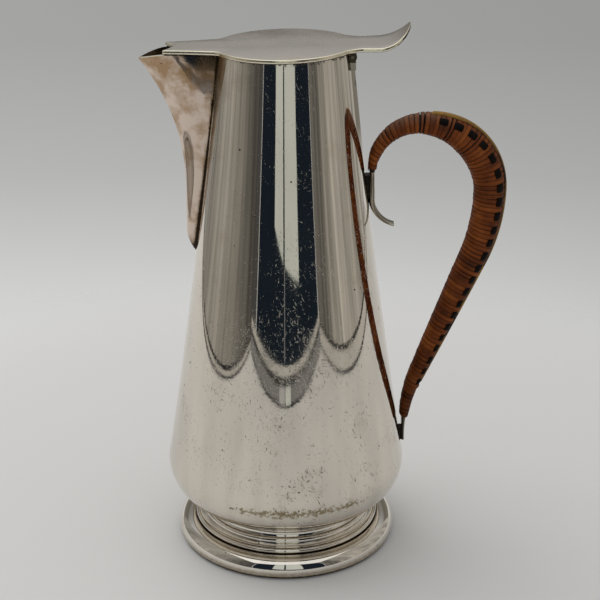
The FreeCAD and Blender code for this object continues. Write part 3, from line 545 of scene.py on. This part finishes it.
def makeFootRing():
    bm = bmesh.new()
    skirt, top, inner = footing["skirt"], footing["ringTop"], footing["skirt"] + footing["gap"]
    drawProfile(bm, [
        (skirt, 0), (footing["ringFoot"], 0),
        (*footing["ringSide"], -footing["ringToe"], footing["beadSteps"]),
        (*top, -footing["ringRound"], footing["roundSteps"]),
        (inner, top[1] - footing["ringDip"], -footing["ringEase"], footing["easeSteps"]),
        (inner, footing["groove"]), (skirt, footing["groove"])])
    turnRound(bm, footing["segments"])

    def corner(spot):
        # painted shade in the groove inside the ring, and painted shade with the floor's shadow reflected
        # along its lower edge; the lower half a little darker
        out = hypot(spot.x, spot.y) - inner
        inside = max(1.0 - out / 0.3, 0.4 - out / 5) if spot.z > footing["upperHalf"] else 0.0
        return max(inside, 1.3 - spot.z / 1.8, min(1.2 - spot.z / 3.0, 0.35))

    paintShadeAndGrime(bm, corner)
    finishPiece(bm, "footRing", [footSilver], ["foot_wire"], sharp=40)


makeFoot()
makeFootRing()


# Lid: a flat plate cut as disc, beak and thumb-piece, with the thumb-piece curled up and the edges eased
lid = {
    "gap": 0.3, "thickness": 1.5, "radius": 26.0, "beakReach": 44.0, "beakHalf": 7.2, "notch": 3.6,
    "beakFlare": 0.3, "beakRoot": (-25.0, 10.7), "beakMeets": -22.4, "beakDip": 0.35, "thumbHalf": 11.0,
    "thumbRoot": (28.5, 10.35), "thumbDip": 0.75, "thumbFrom": 21.6, "thumbStart": 34.0, "thumbReach": 45.9,
    "thumbRound": 0.29, "curlRadius": 13.68, "curlCentre": 33.857, "bendStep": 0.6, "bends": 20,
    "cutsAlong": [-40.0, -30.0, -18.0, -6.0, 6.0, 18.0, 28.0], "cutsAcross": [-5.0, 0.0, 5.0],
    "ease": 0.42, "easedFrom": 60.0, "facing": (0.97, -0.45, -0.97),
}


def curlTilt(x):
    past = max(x - lid["curlCentre"], 0.0) if x > lid["thumbStart"] else 0.0
    return asin(min(past / lid["curlRadius"], 1.0))


def makeLid():
    bm = bmesh.new()
    flat, wide, tip = (0, 0, -1), lid["radius"], lid["thumbReach"]
    # half of the plan, from the beak's notch round the far side to the thumb-piece's tip
    start = bm.verts.new((lid["notch"] - lid["beakReach"], 0, 0))
    vert = lineTo(bm, start, -lid["beakReach"], 0, lid["beakHalf"])
    root, thumb = (Vector((x, sqrt(wide ** 2 - x ** 2), 0))
                   for x in (lid["beakMeets"], lid["thumbFrom"]))
    rise = wide - sqrt(wide ** 2 - (thumb - root).length ** 2 / 4)
    for end, depth, steps in (((*lid["beakRoot"], 0), -lid["beakFlare"], 12), (root, -lid["beakDip"], 6),
                              (thumb, rise, 40), ((*lid["thumbRoot"], 0), -lid["thumbDip"], 8)):
        vert = arcTo(bm, vert, end, depth, steps, flat)
    vert = lineTo(bm, vert, lid["thumbStart"], 0, lid["thumbHalf"])
    arcTo(bm, vert, (tip, 0, 0), lid["thumbRound"] * (tip - lid["thumbStart"]), 16, flat)
    bmesh.ops.mirror(bm, geom=bm.verts[:] + bm.edges[:], merge_dist=1e-4, axis="Y")
    bmesh.ops.remove_doubles(bm, verts=bm.verts, dist=1e-4)
    bmesh.ops.contextual_create(bm, geom=bm.edges[:])
    if bm.faces[0].normal.z < 0:
        bmesh.ops.reverse_faces(bm, faces=bm.faces)
    for x in [lid["thumbStart"] + lid["bendStep"] * i for i in range(lid["bends"])] + lid["cutsAlong"]:
        cutSheet(bm, bm.faces[:], (x, 0, 0), (1, 0, 0))
    for y in lid["cutsAcross"]:
        cutSheet(bm, bm.faces[:], (0, y, 0), (0, 1, 0))
    for vert in bm.verts:
        curl = lid["curlRadius"] * (1 - cos(curlTilt(vert.co.x)))
        vert.co.z += lid["gap"] + lid["thickness"] + curl
    thicken(bm, lid["thickness"])
    sharp = radians(lid["easedFrom"])
    rim = [e for e in bm.edges if len(e.link_faces) == 2 and e.calc_face_angle(0.0) > sharp]
    bmesh.ops.bevel(bm, geom=rim, offset=lid["ease"], offset_type="OFFSET", affect="EDGES", segments=3,
                    profile=0.5, material=-1)
    bm.normal_update()
    for face in bm.faces:
        tilt = curlTilt(face.calc_center_median().x)
        lean = face.normal.dot(Vector((-sin(tilt), 0, cos(tilt))))
        face.material_index = sum(lean <= limit for limit in lid["facing"])
    bmesh.ops.transform(bm, matrix=rimFrame, verts=bm.verts)
    # the lower bevel's near black finish is painted shade under the lid's edge
    finishes = [lidSilver, edgeSilver, edgeShadeDark, rodSilver]  # top, side, lower bevel, underside
    finishPiece(bm, "lidPlate", finishes, ["lid_plate"], "lid", sharp=50)


makeLid()


# Bezel: a short ring under the lid, open where the hinge is
bezel = {
    "outer": 23.0, "wall": 0.8, "depth": 3.0, "openHalf": 26.0, "lip": 0.25, "lipSteps": 5, "segments": 120,
}


def makeBezel():
    bm = bmesh.new()
    outer, high = bezel["outer"], lid["gap"]
    inner, low = outer - bezel["wall"], high - bezel["depth"] + bezel["lip"]
    drawProfile(bm, [(outer, high), (outer, low), (inner, low, bezel["lip"], bezel["lipSteps"]),
                     (inner, high)])
    half = radians(bezel["openHalf"])
    bmesh.ops.rotate(bm, cent=(0, 0, 0), matrix=Matrix.Rotation(half, 3, "Z"), verts=bm.verts)
    sweep(bm, bezel["segments"], 2 * pi - 2 * half)
    closeEnds(bm)
    faceOut(bm)
    bmesh.ops.transform(bm, matrix=rimFrame, verts=bm.verts)
    finishPiece(bm, "lidBezel", [rodSilver], ["lid_bezel"], "lid")


makeBezel()


# Handle: the rod follows straight runs and bends in the XZ plane, thin at both ends and swelling in the grip
handle = {
    "strapX": 32.7158, "strapLow": 141.5, "tailBend": 11.0, "tailTurn": 68.0, "tailExtra": 1.7,
    "halfWidth": 2.6, "steps": 220, "sides": 28,
    "runs": [(13.055, -68.0), (10.6, 0.0), (28.431, -90.0), (41.155, -90.0), (27.367, -22.4), (52.627, 0.0),
             (24.63, 22.4), (5.061, 0.0)],
    "marks": [(0.0, 1.2), (13.055, 2.6), (23.655, 2.2), (52.086, 6.2), (72.66, 10.4), (93.241, 10.2),
              (120.608, 9.0), (173.236, 4.6), (197.866, 1.4), (202.927, 1.4)],
}


def handleFrame(distance):
    turn = radians(handle["tailTurn"])
    heading = pi / 2 + turn
    bend = handle["tailBend"]
    point = Vector((handle["strapX"] + bend - bend * cos(turn), 0,
                    handle["strapLow"] - bend * sin(turn)))
    left = distance
    for length, degrees in handle["runs"]:
        part = min(left, length)
        left -= length
        change = radians(degrees) * part / length
        chord = part * sin(change / 2) / (change / 2) if abs(change) > 1e-9 else part
        point += Vector((cos(heading + change / 2), 0, sin(heading + change / 2))) * chord
        heading += change
        if left <= 0:
            break
    way = Vector((cos(heading), 0, sin(heading)))
    return point, way, Vector((-way.z, 0, way.x))


def handleGrip(distance):
    # Half of the grip's depth and of its width, on a smooth curve through the marks
    marks = handle["marks"]
    slopes = []
    for i in range(len(marks)):
        low, high = marks[max(i - 1, 0)], marks[min(i + 1, len(marks) - 1)]
        slopes.append((high[1] - low[1]) / (high[0] - low[0]))
    i = 0
    while i < len(marks) - 2 and distance > marks[i + 1][0]:
        i += 1
    span = marks[i + 1][0] - marks[i][0]
    u = min(max((distance - marks[i][0]) / span, 0.0), 1.0)
    thick = (2 * u ** 3 - 3 * u ** 2 + 1) * marks[i][1] + (3 * u ** 2 - 2 * u ** 3) * marks[i + 1][1]
    thick += span * ((u ** 3 - 2 * u ** 2 + u) * slopes[i] + (u ** 3 - u ** 2) * slopes[i + 1])
    return thick / 2, hypot(thick / 2, handle["halfWidth"])


handleLength = sum(run[0] for run in handle["runs"])

# A nearly black brown, dull layer on the rod under the cane: painted shade that shows in the gaps between the
# turns
underCaneShade, add, shader, place = newMaterial("underCanePaintedShade", Roughness=0.7)
mottle = add("TexNoise", {"Scale": 1 / (1.5 * mm), "Detail": 4.0, "Vector": place})
tone = add("ValToRGB", {"Fac": mottle}, [(0.3, linear("#0f0805")), (0.7, linear("#20110a"))])
feed(shader, {"Base Color": tone})

cane = {
    "from": 23.4, "to": 192.9, "turns": 3, "doublings": 5, "stepsPerTurn": 40, "fill": 0.985, "taper": 7.0,
    "overRod": 0.3, "steady": 10.0, "slack": 0.22, "pinch": 1.1, "pinchFrom": 0.22, "uneven": 0.16,
    "profile": [(-0.5, 0.2), (-0.5, 0.72), (-0.4, 0.82), (0.0, 0.86), (0.4, 0.82), (0.5, 0.72), (0.5, 0.2)],
}


def makeRod():
    bm = bmesh.new()
    bmesh.ops.create_circle(bm, segments=handle["sides"], radius=1.0)
    bmesh.ops.translate(bm, vec=(0, 0, -handle["tailExtra"]), verts=bm.verts)
    sweep(bm, handle["steps"], rise=handleLength + handle["tailExtra"])
    closeEnds(bm)
    for face in bm.faces:
        along = face.calc_center_median().z
        wound = cane["from"] + cane["overRod"] < along < cane["to"] - cane["overRod"]
        face.material_index = 1 if wound else 0
    for vert in bm.verts:
        point, way, out = handleFrame(vert.co.z)
        half, width = handleGrip(vert.co.z)
        vert.co = point + out * (half * vert.co.x) + Vector((0, width * vert.co.y, 0))
    faceOut(bm)
    finishPiece(bm, "handleRod", [rodSilver, underCaneShade], ["handle_core"])


makeRod()


# Cane: split rattan with its bark outside, aged reddish brown, with fine fibres and a tone for each turn
bark = {
    "fibreLength": 5.0, "fibresAcross": 7.0, "fibreDepth": 0.06, "patchSize": 8.0, "shadeAndDirtTone": "#160a05",
    "greyingAndHighlightX": (50.0, 66.0), "greyingAndHighlightZ": (158.0, 168.0), "lowEndDarkerZ": (85.0, 55.0), "roughSpread": 0.25,
}


def caneBark(name, look):
    material, add, shader, place = newMaterial(name, **{"Specular IOR Level": look["shine"]})
    strip = add("UVMap", uv_map="strip")
    across = add("SeparateXYZ", [strip]).outputs["Y"]
    turn = add("Math", [across], operation="FLOOR")
    ownTone = add("TexWhiteNoise", {"W": turn}, noise_dimensions="1D")
    spread = (1 / bark["fibreLength"], bark["fibresAcross"], 1.0)
    fibres = add("Mapping", {"Scale": spread, "Vector": strip})
    streak = add("TexNoise", {"Scale": 1.0, "Detail": 4.0, "Roughness": 0.65, "Vector": fibres})
    spot = add("SeparateXYZ", [place])
    patch = add("TexNoise", {"Scale": 1 / (bark["patchSize"] * mm), "Detail": 4.0, "Vector": place})
    mixed = add("Math", [streak, 0.45], operation="MULTIPLY")
    for source, weight in ((ownTone, 0.15), (patch, 0.55)):
        mixed = add("Math", [source, weight, mixed], operation="MULTIPLY_ADD")
    tone = add("ValToRGB", {"Fac": mixed},
               [(0.36, linear(look["dark"])), (0.58, linear(look["middle"])), (0.8, linear(look["light"]))])
    layers = []
    if look.get("greyingAndHighlight"):
        # the upward faces at the top of the shoulder are paler: painted highlight from above, with some
        # greying from light and handling
        normal = add("NewGeometry").outputs["Normal"]
        facing = add("SeparateXYZ", [normal])
        pale = add("MapRange", [facing.outputs["Z"], 0.3, 1.0])
        early = add("MapRange", [spot.outputs["X"], *metres(bark["greyingAndHighlightX"]), 1.0, 0.0])
        raised = add("MapRange", [spot.outputs["Z"], *metres(bark["greyingAndHighlightZ"])])
        for source in (early, raised, patch):
            pale = add("Math", [pale, source], operation="MULTIPLY")
        pale = add("Math", [pale, 0.6], operation="MULTIPLY", use_clamp=True)
        layers.append((pale, look["greyingAndHighlight"]))
    # painted shade, with some dirt, along the edges of some turns, and the low end of the handle darker
    # towards the bottom
    edge = add("Math", [across], operation="FRACT")
    edge = add("Math", [edge, 0.5], operation="SUBTRACT")
    edge = add("Math", [edge], operation="ABSOLUTE")
    edge = add("MapRange", [edge, 0.27, 0.43])
    own = add("SeparateColor", [ownTone.outputs["Color"]]).outputs["Green"]
    own = add("MapRange", [own, 0.1, 0.9, 0.0, 0.95])
    shadeAndDirt = add("Math", [edge, own], operation="MULTIPLY")
    lowEndDarker = add("MapRange", [spot.outputs["Z"], *metres(bark["lowEndDarkerZ"]), 0.0, 0.45])
    layers += [(shadeAndDirt, bark["shadeAndDirtTone"]), (lowEndDarker, bark["shadeAndDirtTone"])]
    for share, colour in layers:
        tone = add("Mix", {6: tone, 7: linear(colour), 0: share}, data_type="RGBA")
    rough = add("MapRange", [streak, 0.0, 1.0, look["rough"], look["rough"] + bark["roughSpread"]])
    grooves = add("Bump", {"Strength": 1.0, "Distance": bark["fibreDepth"] * mm, "Height": streak})
    feed(shader, {"Base Color": tone, "Roughness": rough, "Normal": grooves})
    return material


caneNatural = caneBark("rattanCaneAgedBrown", {
    "dark": "#371809", "middle": "#6c3511", "light": "#935320", "greyingAndHighlight": "#857868", "rough": 0.42,
    "shine": 0.1})
caneOchre = caneBark("rattanCaneOchreSplit", {
    "dark": "#5a3c12", "middle": "#8f6a24", "light": "#b9903c", "rough": 0.36, "shine": 0.22})
caneBlack = caneBark("rattanCaneDyedBlack", {
    "dark": "#040302", "middle": "#0b0705", "light": "#1c110a", "rough": 0.5, "shine": 0.08})


# Three long splits are woven under and over the turns, down the back of the grip
sideSplit = {"bias": 0.3, "width": 2.9, "thick": 0.5, "over": 0.72}
plait = {
    "from": 52.1, "to": 177.9, "shownFrom": 54.5, "period": 5.3, "steps": 300, "wander": 0.9, "press": 0.2,
    "fullGrip": 4.5, "begins": 1.5, "ends": 2.0,
    "profile": [(-0.5, 0.0), (-0.5, 0.55), (-0.3, 0.92), (0.0, 1.0), (0.3, 0.92), (0.5, 0.55), (0.5, 0.0)],
    "lines": {
        "plait_near": {"name": "plaitNear", "angle": -54.0, "phase": 0.6, **sideSplit},
        "plait_spine": {"name": "plaitSpine", "angle": 0.0, "phase": 3.7, "bias": 1.3, "width": 3.6,
                        "thick": 0.7, "over": 0.74},
        "plait_far": {"name": "plaitFar", "angle": 54.0, "phase": 0.2, **sideSplit},
    },
}


def weave(distance, line):
    # 1 where a split lies over the turns and 0 where it lies under them; its first length is hidden
    wander = plait["wander"] * noise.noise(Vector((distance * 0.11, line["angle"], 2.0)))
    wave = sin(2 * pi * distance / plait["period"] + line["phase"] + wander)
    begun = (distance - plait["shownFrom"]) / plait["begins"]
    ended = (plait["to"] - distance) / plait["ends"]
    shown = min(max(min(begun, ended), 0.0), 1.0)
    return min(max(0.5 + 1.8 * (wave + line["bias"]), 0.0), 1.0) * shown


def splitLift(distance, angle):
    # How far a turn of cane rises where a split runs below it, or is pressed down where one runs over it
    if not plait["from"] - 1 < distance < plait["to"] + 1:
        return 0.0
    lift = 0.0
    half, width = handleGrip(distance)
    for line in plait["lines"].values():
        turned = (angle - radians(line["angle"]) + pi) % (2 * pi) - pi
        apart = abs(turned) * (half + width) / 2
        near = min(max(1.6 - apart / (line["width"] / 2), 0.0) / 0.8, 1.0)
        lift += near * plait["press"] * (1 - 2 * weave(distance, line))
    return lift


def addStripMap(bm, lengths, acrosses):
    # Along the strip in millimetres, and across it from one turn's whole number to the next
    uv = bm.loops.layers.uv.new("strip")
    for face in bm.faces:
        turn = min(floor(acrosses[v]) for v in face.verts)
        for loop in face.loops:
            loop[uv].uv = (lengths[loop.vert], turn + acrosses[loop.vert] % 1)


def drawLoop(bm, spots):
    verts = [bm.verts.new(spot) for spot in spots]
    for pair in zip(verts, verts[1:] + verts[:1]):
        bm.edges.new(pair)


def makeCane():
    bm = bmesh.new()
    turns = cane["turns"] * 2 ** cane["doublings"]
    pitch = (cane["to"] - cane["from"]) / (turns + 1)
    wide = pitch * cane["fill"]
    steady = cane["steady"]  # the turns are first wound on a straight rod of this radius
    drawLoop(bm, [(steady + high, 0, wide * across) for across, high in cane["profile"]])
    sweep(bm, cane["turns"] * cane["stepsPerTurn"], 2 * pi * cane["turns"], pitch * cane["turns"])
    for doubling in range(cane["doublings"]):
        copies = bmesh.ops.duplicate(bm, geom=bm.verts[:] + bm.edges[:] + bm.faces[:])["geom"]
        bmesh.ops.translate(bm, vec=(0, 0, pitch * cane["turns"] * 2 ** doubling), verts=vertsIn(copies))
    bmesh.ops.remove_doubles(bm, verts=bm.verts, dist=1e-3)
    closeEnds(bm)
    faceOut(bm)
    lengths, acrosses = {}, {}
    for vert in bm.verts:
        angle = atan2(vert.co.y, vert.co.x)
        high = hypot(vert.co.x, vert.co.y) - steady
        turn = round(vert.co.z / pitch - angle / (2 * pi))
        travel = turn + angle / (2 * pi)  # turns along the strip
        across = (vert.co.z - travel * pitch) / wide
        slack, pinch, uneven = (noise.noise(Vector((travel * rate, seed, 0.0)))
                                for rate, seed in ((0.31, 3.7), (0.67, 9.1), (0.9, 1.3)))
        narrow = 1 - cane["pinch"] * max(pinch - cane["pinchFrom"], 0.0)
        begun = travel * pitch / cane["taper"]
        high *= 0.5 + 0.5 * min(max(begun, 0.0), 1.0)  # the first turns are pared thin
        along = cane["from"] + pitch / 2 + travel * pitch + cane["slack"] * slack + across * wide * narrow
        along = min(max(along, 0.0), handleLength)
        point, way, out = handleFrame(along)
        half, width = handleGrip(along)
        lift = high + splitLift(along, angle) + cane["uneven"] * uneven
        vert.co = point + out * ((half + lift) * cos(angle))
        vert.co.y += (width + lift) * sin(angle)
        lengths[vert] = travel * pi * (half + width)
        acrosses[vert] = turn + 0.5 + 0.96 * across
    addStripMap(bm, lengths, acrosses)
    windings = ["cane_winding_1", "cane_winding_2", "cane_winding_3", "cane_winding_4"]
    finishPiece(bm, "caneWinding", [caneNatural], windings, sharp=60)


def makeSplit(node, line, material):
    bm = bmesh.new()
    drawLoop(bm, [(across * line["width"], high * line["thick"], 0) for across, high in plait["profile"]])
    sweep(bm, plait["steps"], rise=plait["to"] - plait["from"])
    closeEnds(bm)
    lengths, acrosses = {}, {}
    angle = radians(line["angle"])
    for vert in bm.verts:
        aside, high, along = vert.co.x, vert.co.y, vert.co.z + plait["from"]
        point, way, out = handleFrame(along)
        half, width = handleGrip(along)
        normal = (out * (cos(angle) / half) + Vector((0, sin(angle) / width, 0))).normalized()
        side = way.cross(normal).normalized()
        spot = point + out * (half * cos(angle)) + Vector((0, width * sin(angle), 0))
        narrow = min(1.0, 0.4 + 0.6 * half / plait["fullGrip"])
        bow = 0.8 * (aside * narrow) ** 2 / (half + width)  # the split follows the roundness of the grip
        rise = line["over"] * weave(along, line)
        lengths[vert] = along
        acrosses[vert] = floor(along / plait["period"]) + 0.5 + 0.96 * aside / line["width"]
        vert.co = spot + side * aside * narrow + normal * (high + rise - bow)
    faceOut(bm)
    addStripMap(bm, lengths, acrosses)
    finishPiece(bm, line["name"], [material], [node], sharp=60)


makeCane()
for node, line in plait["lines"].items():
    spine = node == "plait_spine"
    makeSplit(node, line, caneOchre if spine else caneBlack)


# Small hinge pieces and solder keep their CAD shapes: a bare nickel silver pin, dull solder darkened with
# painted shade, and the outer body knuckles near black with painted shade
nickelSilver = silverPlate("nickelSilverDrawnWire", {
    **plainSilver, "silver": "#6f675a", "rough": 0.25, "blotchSize": 3.0})
softSolder, add, shader, place = newMaterial("softSolderPaintedShade", Metallic=1.0, Roughness=0.42)
grain = add("TexNoise", {"Scale": 1 / (0.8 * mm), "Detail": 4.0, "Vector": place})
tone = add("ValToRGB", {"Fac": grain}, [(0.3, linear("#1b1815")), (0.7, linear("#322e29"))])
lumps = add("Bump", {"Strength": 1.0, "Distance": 0.08 * mm, "Height": grain})
feed(shader, {"Base Color": tone, "Normal": lumps})
keptNodes = {
    "hinge_bearer": rodSilver, "body_knuckle_near": edgeShadeDark, "body_knuckle_middle": rodSilver,
    "body_knuckle_far": edgeShadeDark, "lid_knuckle_near": rodSilver, "lid_knuckle_far": rodSilver,
    "hinge_pin": nickelSilver, "handle_joint_upper": softSolder, "handle_joint_lower": softSolder,
}
for node, material in keptNodes.items():
    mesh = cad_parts[node].data
    mesh.materials.clear()
    mesh.materials.append(material)
print("kept nodes painted")


# Studio: a pale sheet, a box of cards round it that only the metal sees, one soft lamp and an even sky
studio = {
    "paper": "#d6d5d3", "paperHalf": 0.7, "paperDrop": -0.0002, "fadeFrom": 0.17, "fadeTo": 0.34, "sky": 0.63,
    "lampPower": 5.1, "lampSize": 1.3, "lampPlace": (-0.48, 0.38, 1.0), "lampAim": (0, 0, 0.08),
    "left": -0.385, "right": 0.402, "front": -0.49, "back": 0.42, "tall": 0.6, "inFront": 0.002,
    "foldSize": 55.0, "backdrop": [
        (0.06, "#c5c5c5"), (0.11, "#c7c7c7"), (0.18, "#d4d4d3"), (0.25, "#d3d3d2"), (0.31, "#c5c6c4"),
        (0.375, "#b2b2b1"), (0.48, "#a1a1a0"), (0.6, "#9d9d9b")],
}


def makeSheet(name, corner, along, up, material):
    bm = bmesh.new()
    bmesh.ops.create_grid(bm, x_segments=1, y_segments=1, size=0.5)
    corner, along, up = Vector(corner), Vector(along), Vector(up)
    for vert in bm.verts:
        vert.co = corner + (along - corner) * (vert.co.x + 0.5) + (up - corner) * (vert.co.y + 0.5)
    sheet = putMesh(bm, name, [material])
    return sheet


def cardMaterial(name, axis, stops, hems=(), streak=0.0, interpolation="LINEAR"):
    # A lit card whose tone runs along one axis in metres, with hems of other tones at its foot
    material = bpy.data.materials.new(name)
    material.use_nodes = True
    material.node_tree.nodes.clear()
    add = partial(addNode, material.node_tree)
    place = add("TexCoord").outputs["Object"]
    parts = add("SeparateXYZ", [place])
    first, last = stops[0][0], stops[-1][0]
    share = add("MapRange", [parts.outputs[axis], first, last])
    ramp = add("ValToRGB", {"Fac": share}, [((at - first) / (last - first), tone) for at, tone in stops])
    ramp.color_ramp.interpolation = interpolation
    hung = add("Mapping", {"Scale": (1.0, 1.0, 0.15), "Vector": place})
    folds = add("TexNoise",
                {"Scale": 1 / (studio["foldSize"] * mm), "Detail": 6.0, "Roughness": 0.7, "Vector": hung})
    shade = add("MapRange", [folds, 0.3, 0.7, 1 - streak, 1 + streak])
    colour = add("VectorMath", {0: ramp, "Scale": shade}, operation="SCALE")
    for height, tone in hems:
        step = add("Math", [parts.outputs["Z"], height], operation="LESS_THAN")
        colour = add("Mix", {6: colour, 7: tone, 0: step}, data_type="RGBA")
    glow = add("Emission", {"Strength": 1.0, "Color": colour})
    add("OutputMaterial", {"Surface": glow})
    return material


def makePaper():
    # The sheet is clear to the camera far from the part, where the backdrop takes over
    paper, add, shader, place = newMaterial("mattPaperSheet", Roughness=0.9)
    feed(shader, {"Base Color": linear(studio["paper"])})
    away = add("VectorMath", [place], operation="LENGTH")
    fade = add("MapRange", [away, studio["fadeFrom"], studio["fadeTo"]], interpolation_type="SMOOTHSTEP")
    path = add("LightPath")
    seen = add("Math", [fade, path.outputs["Is Camera Ray"]], operation="MULTIPLY")
    clear = add("BsdfTransparent")
    mixed = add("MixShader", [seen, shader, clear])
    feed(paper.node_tree.nodes["Material Output"], {"Surface": mixed})
    half, drop = studio["paperHalf"], studio["paperDrop"]
    makeSheet("paperSheet", (-half, -half, drop), (half, -half, drop), (-half, half, drop), paper)


def makeCards():
    left, right, front, back, tall = (studio[k] for k in ("left", "right", "front", "back", "tall"))
    navy, hemDark, hemLight = linear("#19212a"), grey(0.02), grey(0.46, 0.1)
    warm = partial(grey, warm=0.13)
    frontCard = cardMaterial("cardFront", "X", [
        (left, grey(0.07)), (-0.318, grey(0.5)), (-0.31, navy), (0.386, grey(0.5)), (0.394, grey(0.1)),
        (right, grey(0.1))],
        [(0.0215, hemLight), (0.0154, hemDark), (0.0114, grey(0.2)), (0.0022, hemDark)], 0.0, "CONSTANT")
    leftCard = cardMaterial("cardLeft", "Y", [
        (front, warm(0.07)), (-0.36, warm(0.11)), (-0.22, warm(0.23)),
        (-0.03, warm(0.33)), (0.2, grey(0.27, 0.1)), (back, grey(0.33, 0.08))],
        [(0.0085, hemDark), (0.0058, hemLight), (0.0023, hemDark)], 0.5)
    rightCard = cardMaterial("cardRight", "Y", [
        (front, warm(0.16)), (-0.38, warm(0.1)), (-0.31, warm(0.2)),
        (-0.24, warm(0.34)), (-0.09, warm(0.42)), (0.1, warm(0.34)),
        (back, grey(0.42, 0.08))],
        [(0.0166, hemDark), (0.0134, hemLight), (0.0027, hemDark)], 0.6)
    backCard = cardMaterial("cardBack", "Z", [
        (0.0, grey(0.7)), (0.03, grey(0.6)), (0.06, grey(0.2, 0.2)), (0.22, grey(0.14, 0.2)),
        (0.3, grey(0.34)), (0.37, grey(0.45)), (tall, grey(0.48))])
    topCard = cardMaterial("cardTop", "X", [(left, grey(0.95)), (right, grey(0.8))])
    pale, dim, seam = (cardMaterial(name, "X", [(left, tone), (right, tone)]) for name, tone in (
        ("cardPale", (0.55, 0.58, 0.55, 1)), ("cardDim", grey(0.4)), ("cardSeam", grey(0.25))))
    walls = [(frontCard, left, front, right, front), (leftCard, left, front, left, back),
             (rightCard, right, front, right, back), (backCard, left, back, right, back)]
    cards = [makeSheet(card.name, (x, y, 0), (endX, endY, 0), (x, y, tall), card)
             for card, x, y, endX, endY in walls]
    cards.append(makeSheet("cardTop", (left, front, tall), (right, front, tall), (left, back, tall), topCard))
    # strips just inside the front card: two corners along the foot, and one above the first
    strips = [
        ("paleLeft", pale, (-0.110, 0.095), (-0.015, 0.078), (-0.110, 0.59)),
        ("paleRight", pale, (0.0, 0.076), (0.146, 0.064), (0.0, 0.59)),
        ("dimLow", dim, (-0.050, 0.0018), (-0.004, 0.0018), (-0.050, 0.0115)),
        ("paleLow", pale, (0.003, 0.0018), (0.048, 0.0018), (0.003, 0.0115)),
        ("seamLow", seam, (-0.006, 0.024), (0.0, 0.024), (-0.006, 0.075)),
    ]
    for name, material, *corners in strips:
        cards.append(makeSheet(name, *[(x, front + studio["inFront"], z) for x, z in corners], material))
    for card in cards:
        for ray in ("camera", "diffuse", "shadow", "transmission"):
            setattr(card, "visible_" + ray, False)


def makeLamp():
    lamp = bpy.data.lights.new("softLamp", "AREA")
    lamp.shape = "DISK"
    lamp.size = studio["lampSize"]
    lamp.energy = studio["lampPower"]
    hung = putIn("softLamp", lamp)
    hung.location = studio["lampPlace"]
    hung.rotation_euler = (Vector(studio["lampAim"]) - hung.location).to_track_quat("-Z", "Y").to_euler()
    hung.visible_glossy = False


def makeSky():
    world = bpy.data.worlds.new("studioSky")
    world.use_nodes = True
    world.node_tree.nodes.clear()
    add = partial(addNode, world.node_tree)
    way = add("TexCoord").outputs["Generated"]
    parts = add("SeparateXYZ", [way])
    share = add("MapRange", [parts.outputs["Z"], -0.6, 0.2])
    backdrop = add("ValToRGB", {"Fac": share}, [(at, linear(tone)) for at, tone in studio["backdrop"]])
    # darker towards the right: painted lamp falloff on the backdrop
    fall = add("MapRange", [parts.outputs["X"], -0.2, 0.2, 1.06, 0.91])
    backdrop = add("VectorMath", {0: backdrop, "Scale": fall}, operation="SCALE")
    path = add("LightPath")
    shown = add("Math", [path.outputs["Is Camera Ray"], path.outputs["Is Transmission Ray"]],
                operation="MAXIMUM")
    even = add("Background", {"Color": grey(1.0), "Strength": studio["sky"]})
    seen = add("Background", {"Strength": 1.0, "Color": backdrop})
    both = add("MixShader", [shown, even, seen])
    add("OutputWorld", {"Surface": both})
    bpy.context.scene.world = world


makePaper()
makeCards()
makeLamp()
makeSky()
print("studio set")

view = {"place": (0.00566, -0.540, 0.3219), "tilt": 67.60, "lens": 90.2, "sensor": 36.0}
camera = bpy.data.cameras.new("photoCamera")
camera.lens = view["lens"]
camera.sensor_width = view["sensor"]
cameraPlace = putIn("photoCamera", camera)
cameraPlace.location = view["place"]
cameraPlace.rotation_euler = (radians(view["tilt"]), 0, 0)
bpy.context.scene.camera = cameraPlace
bpy.context.scene.view_settings.view_transform = "Standard"
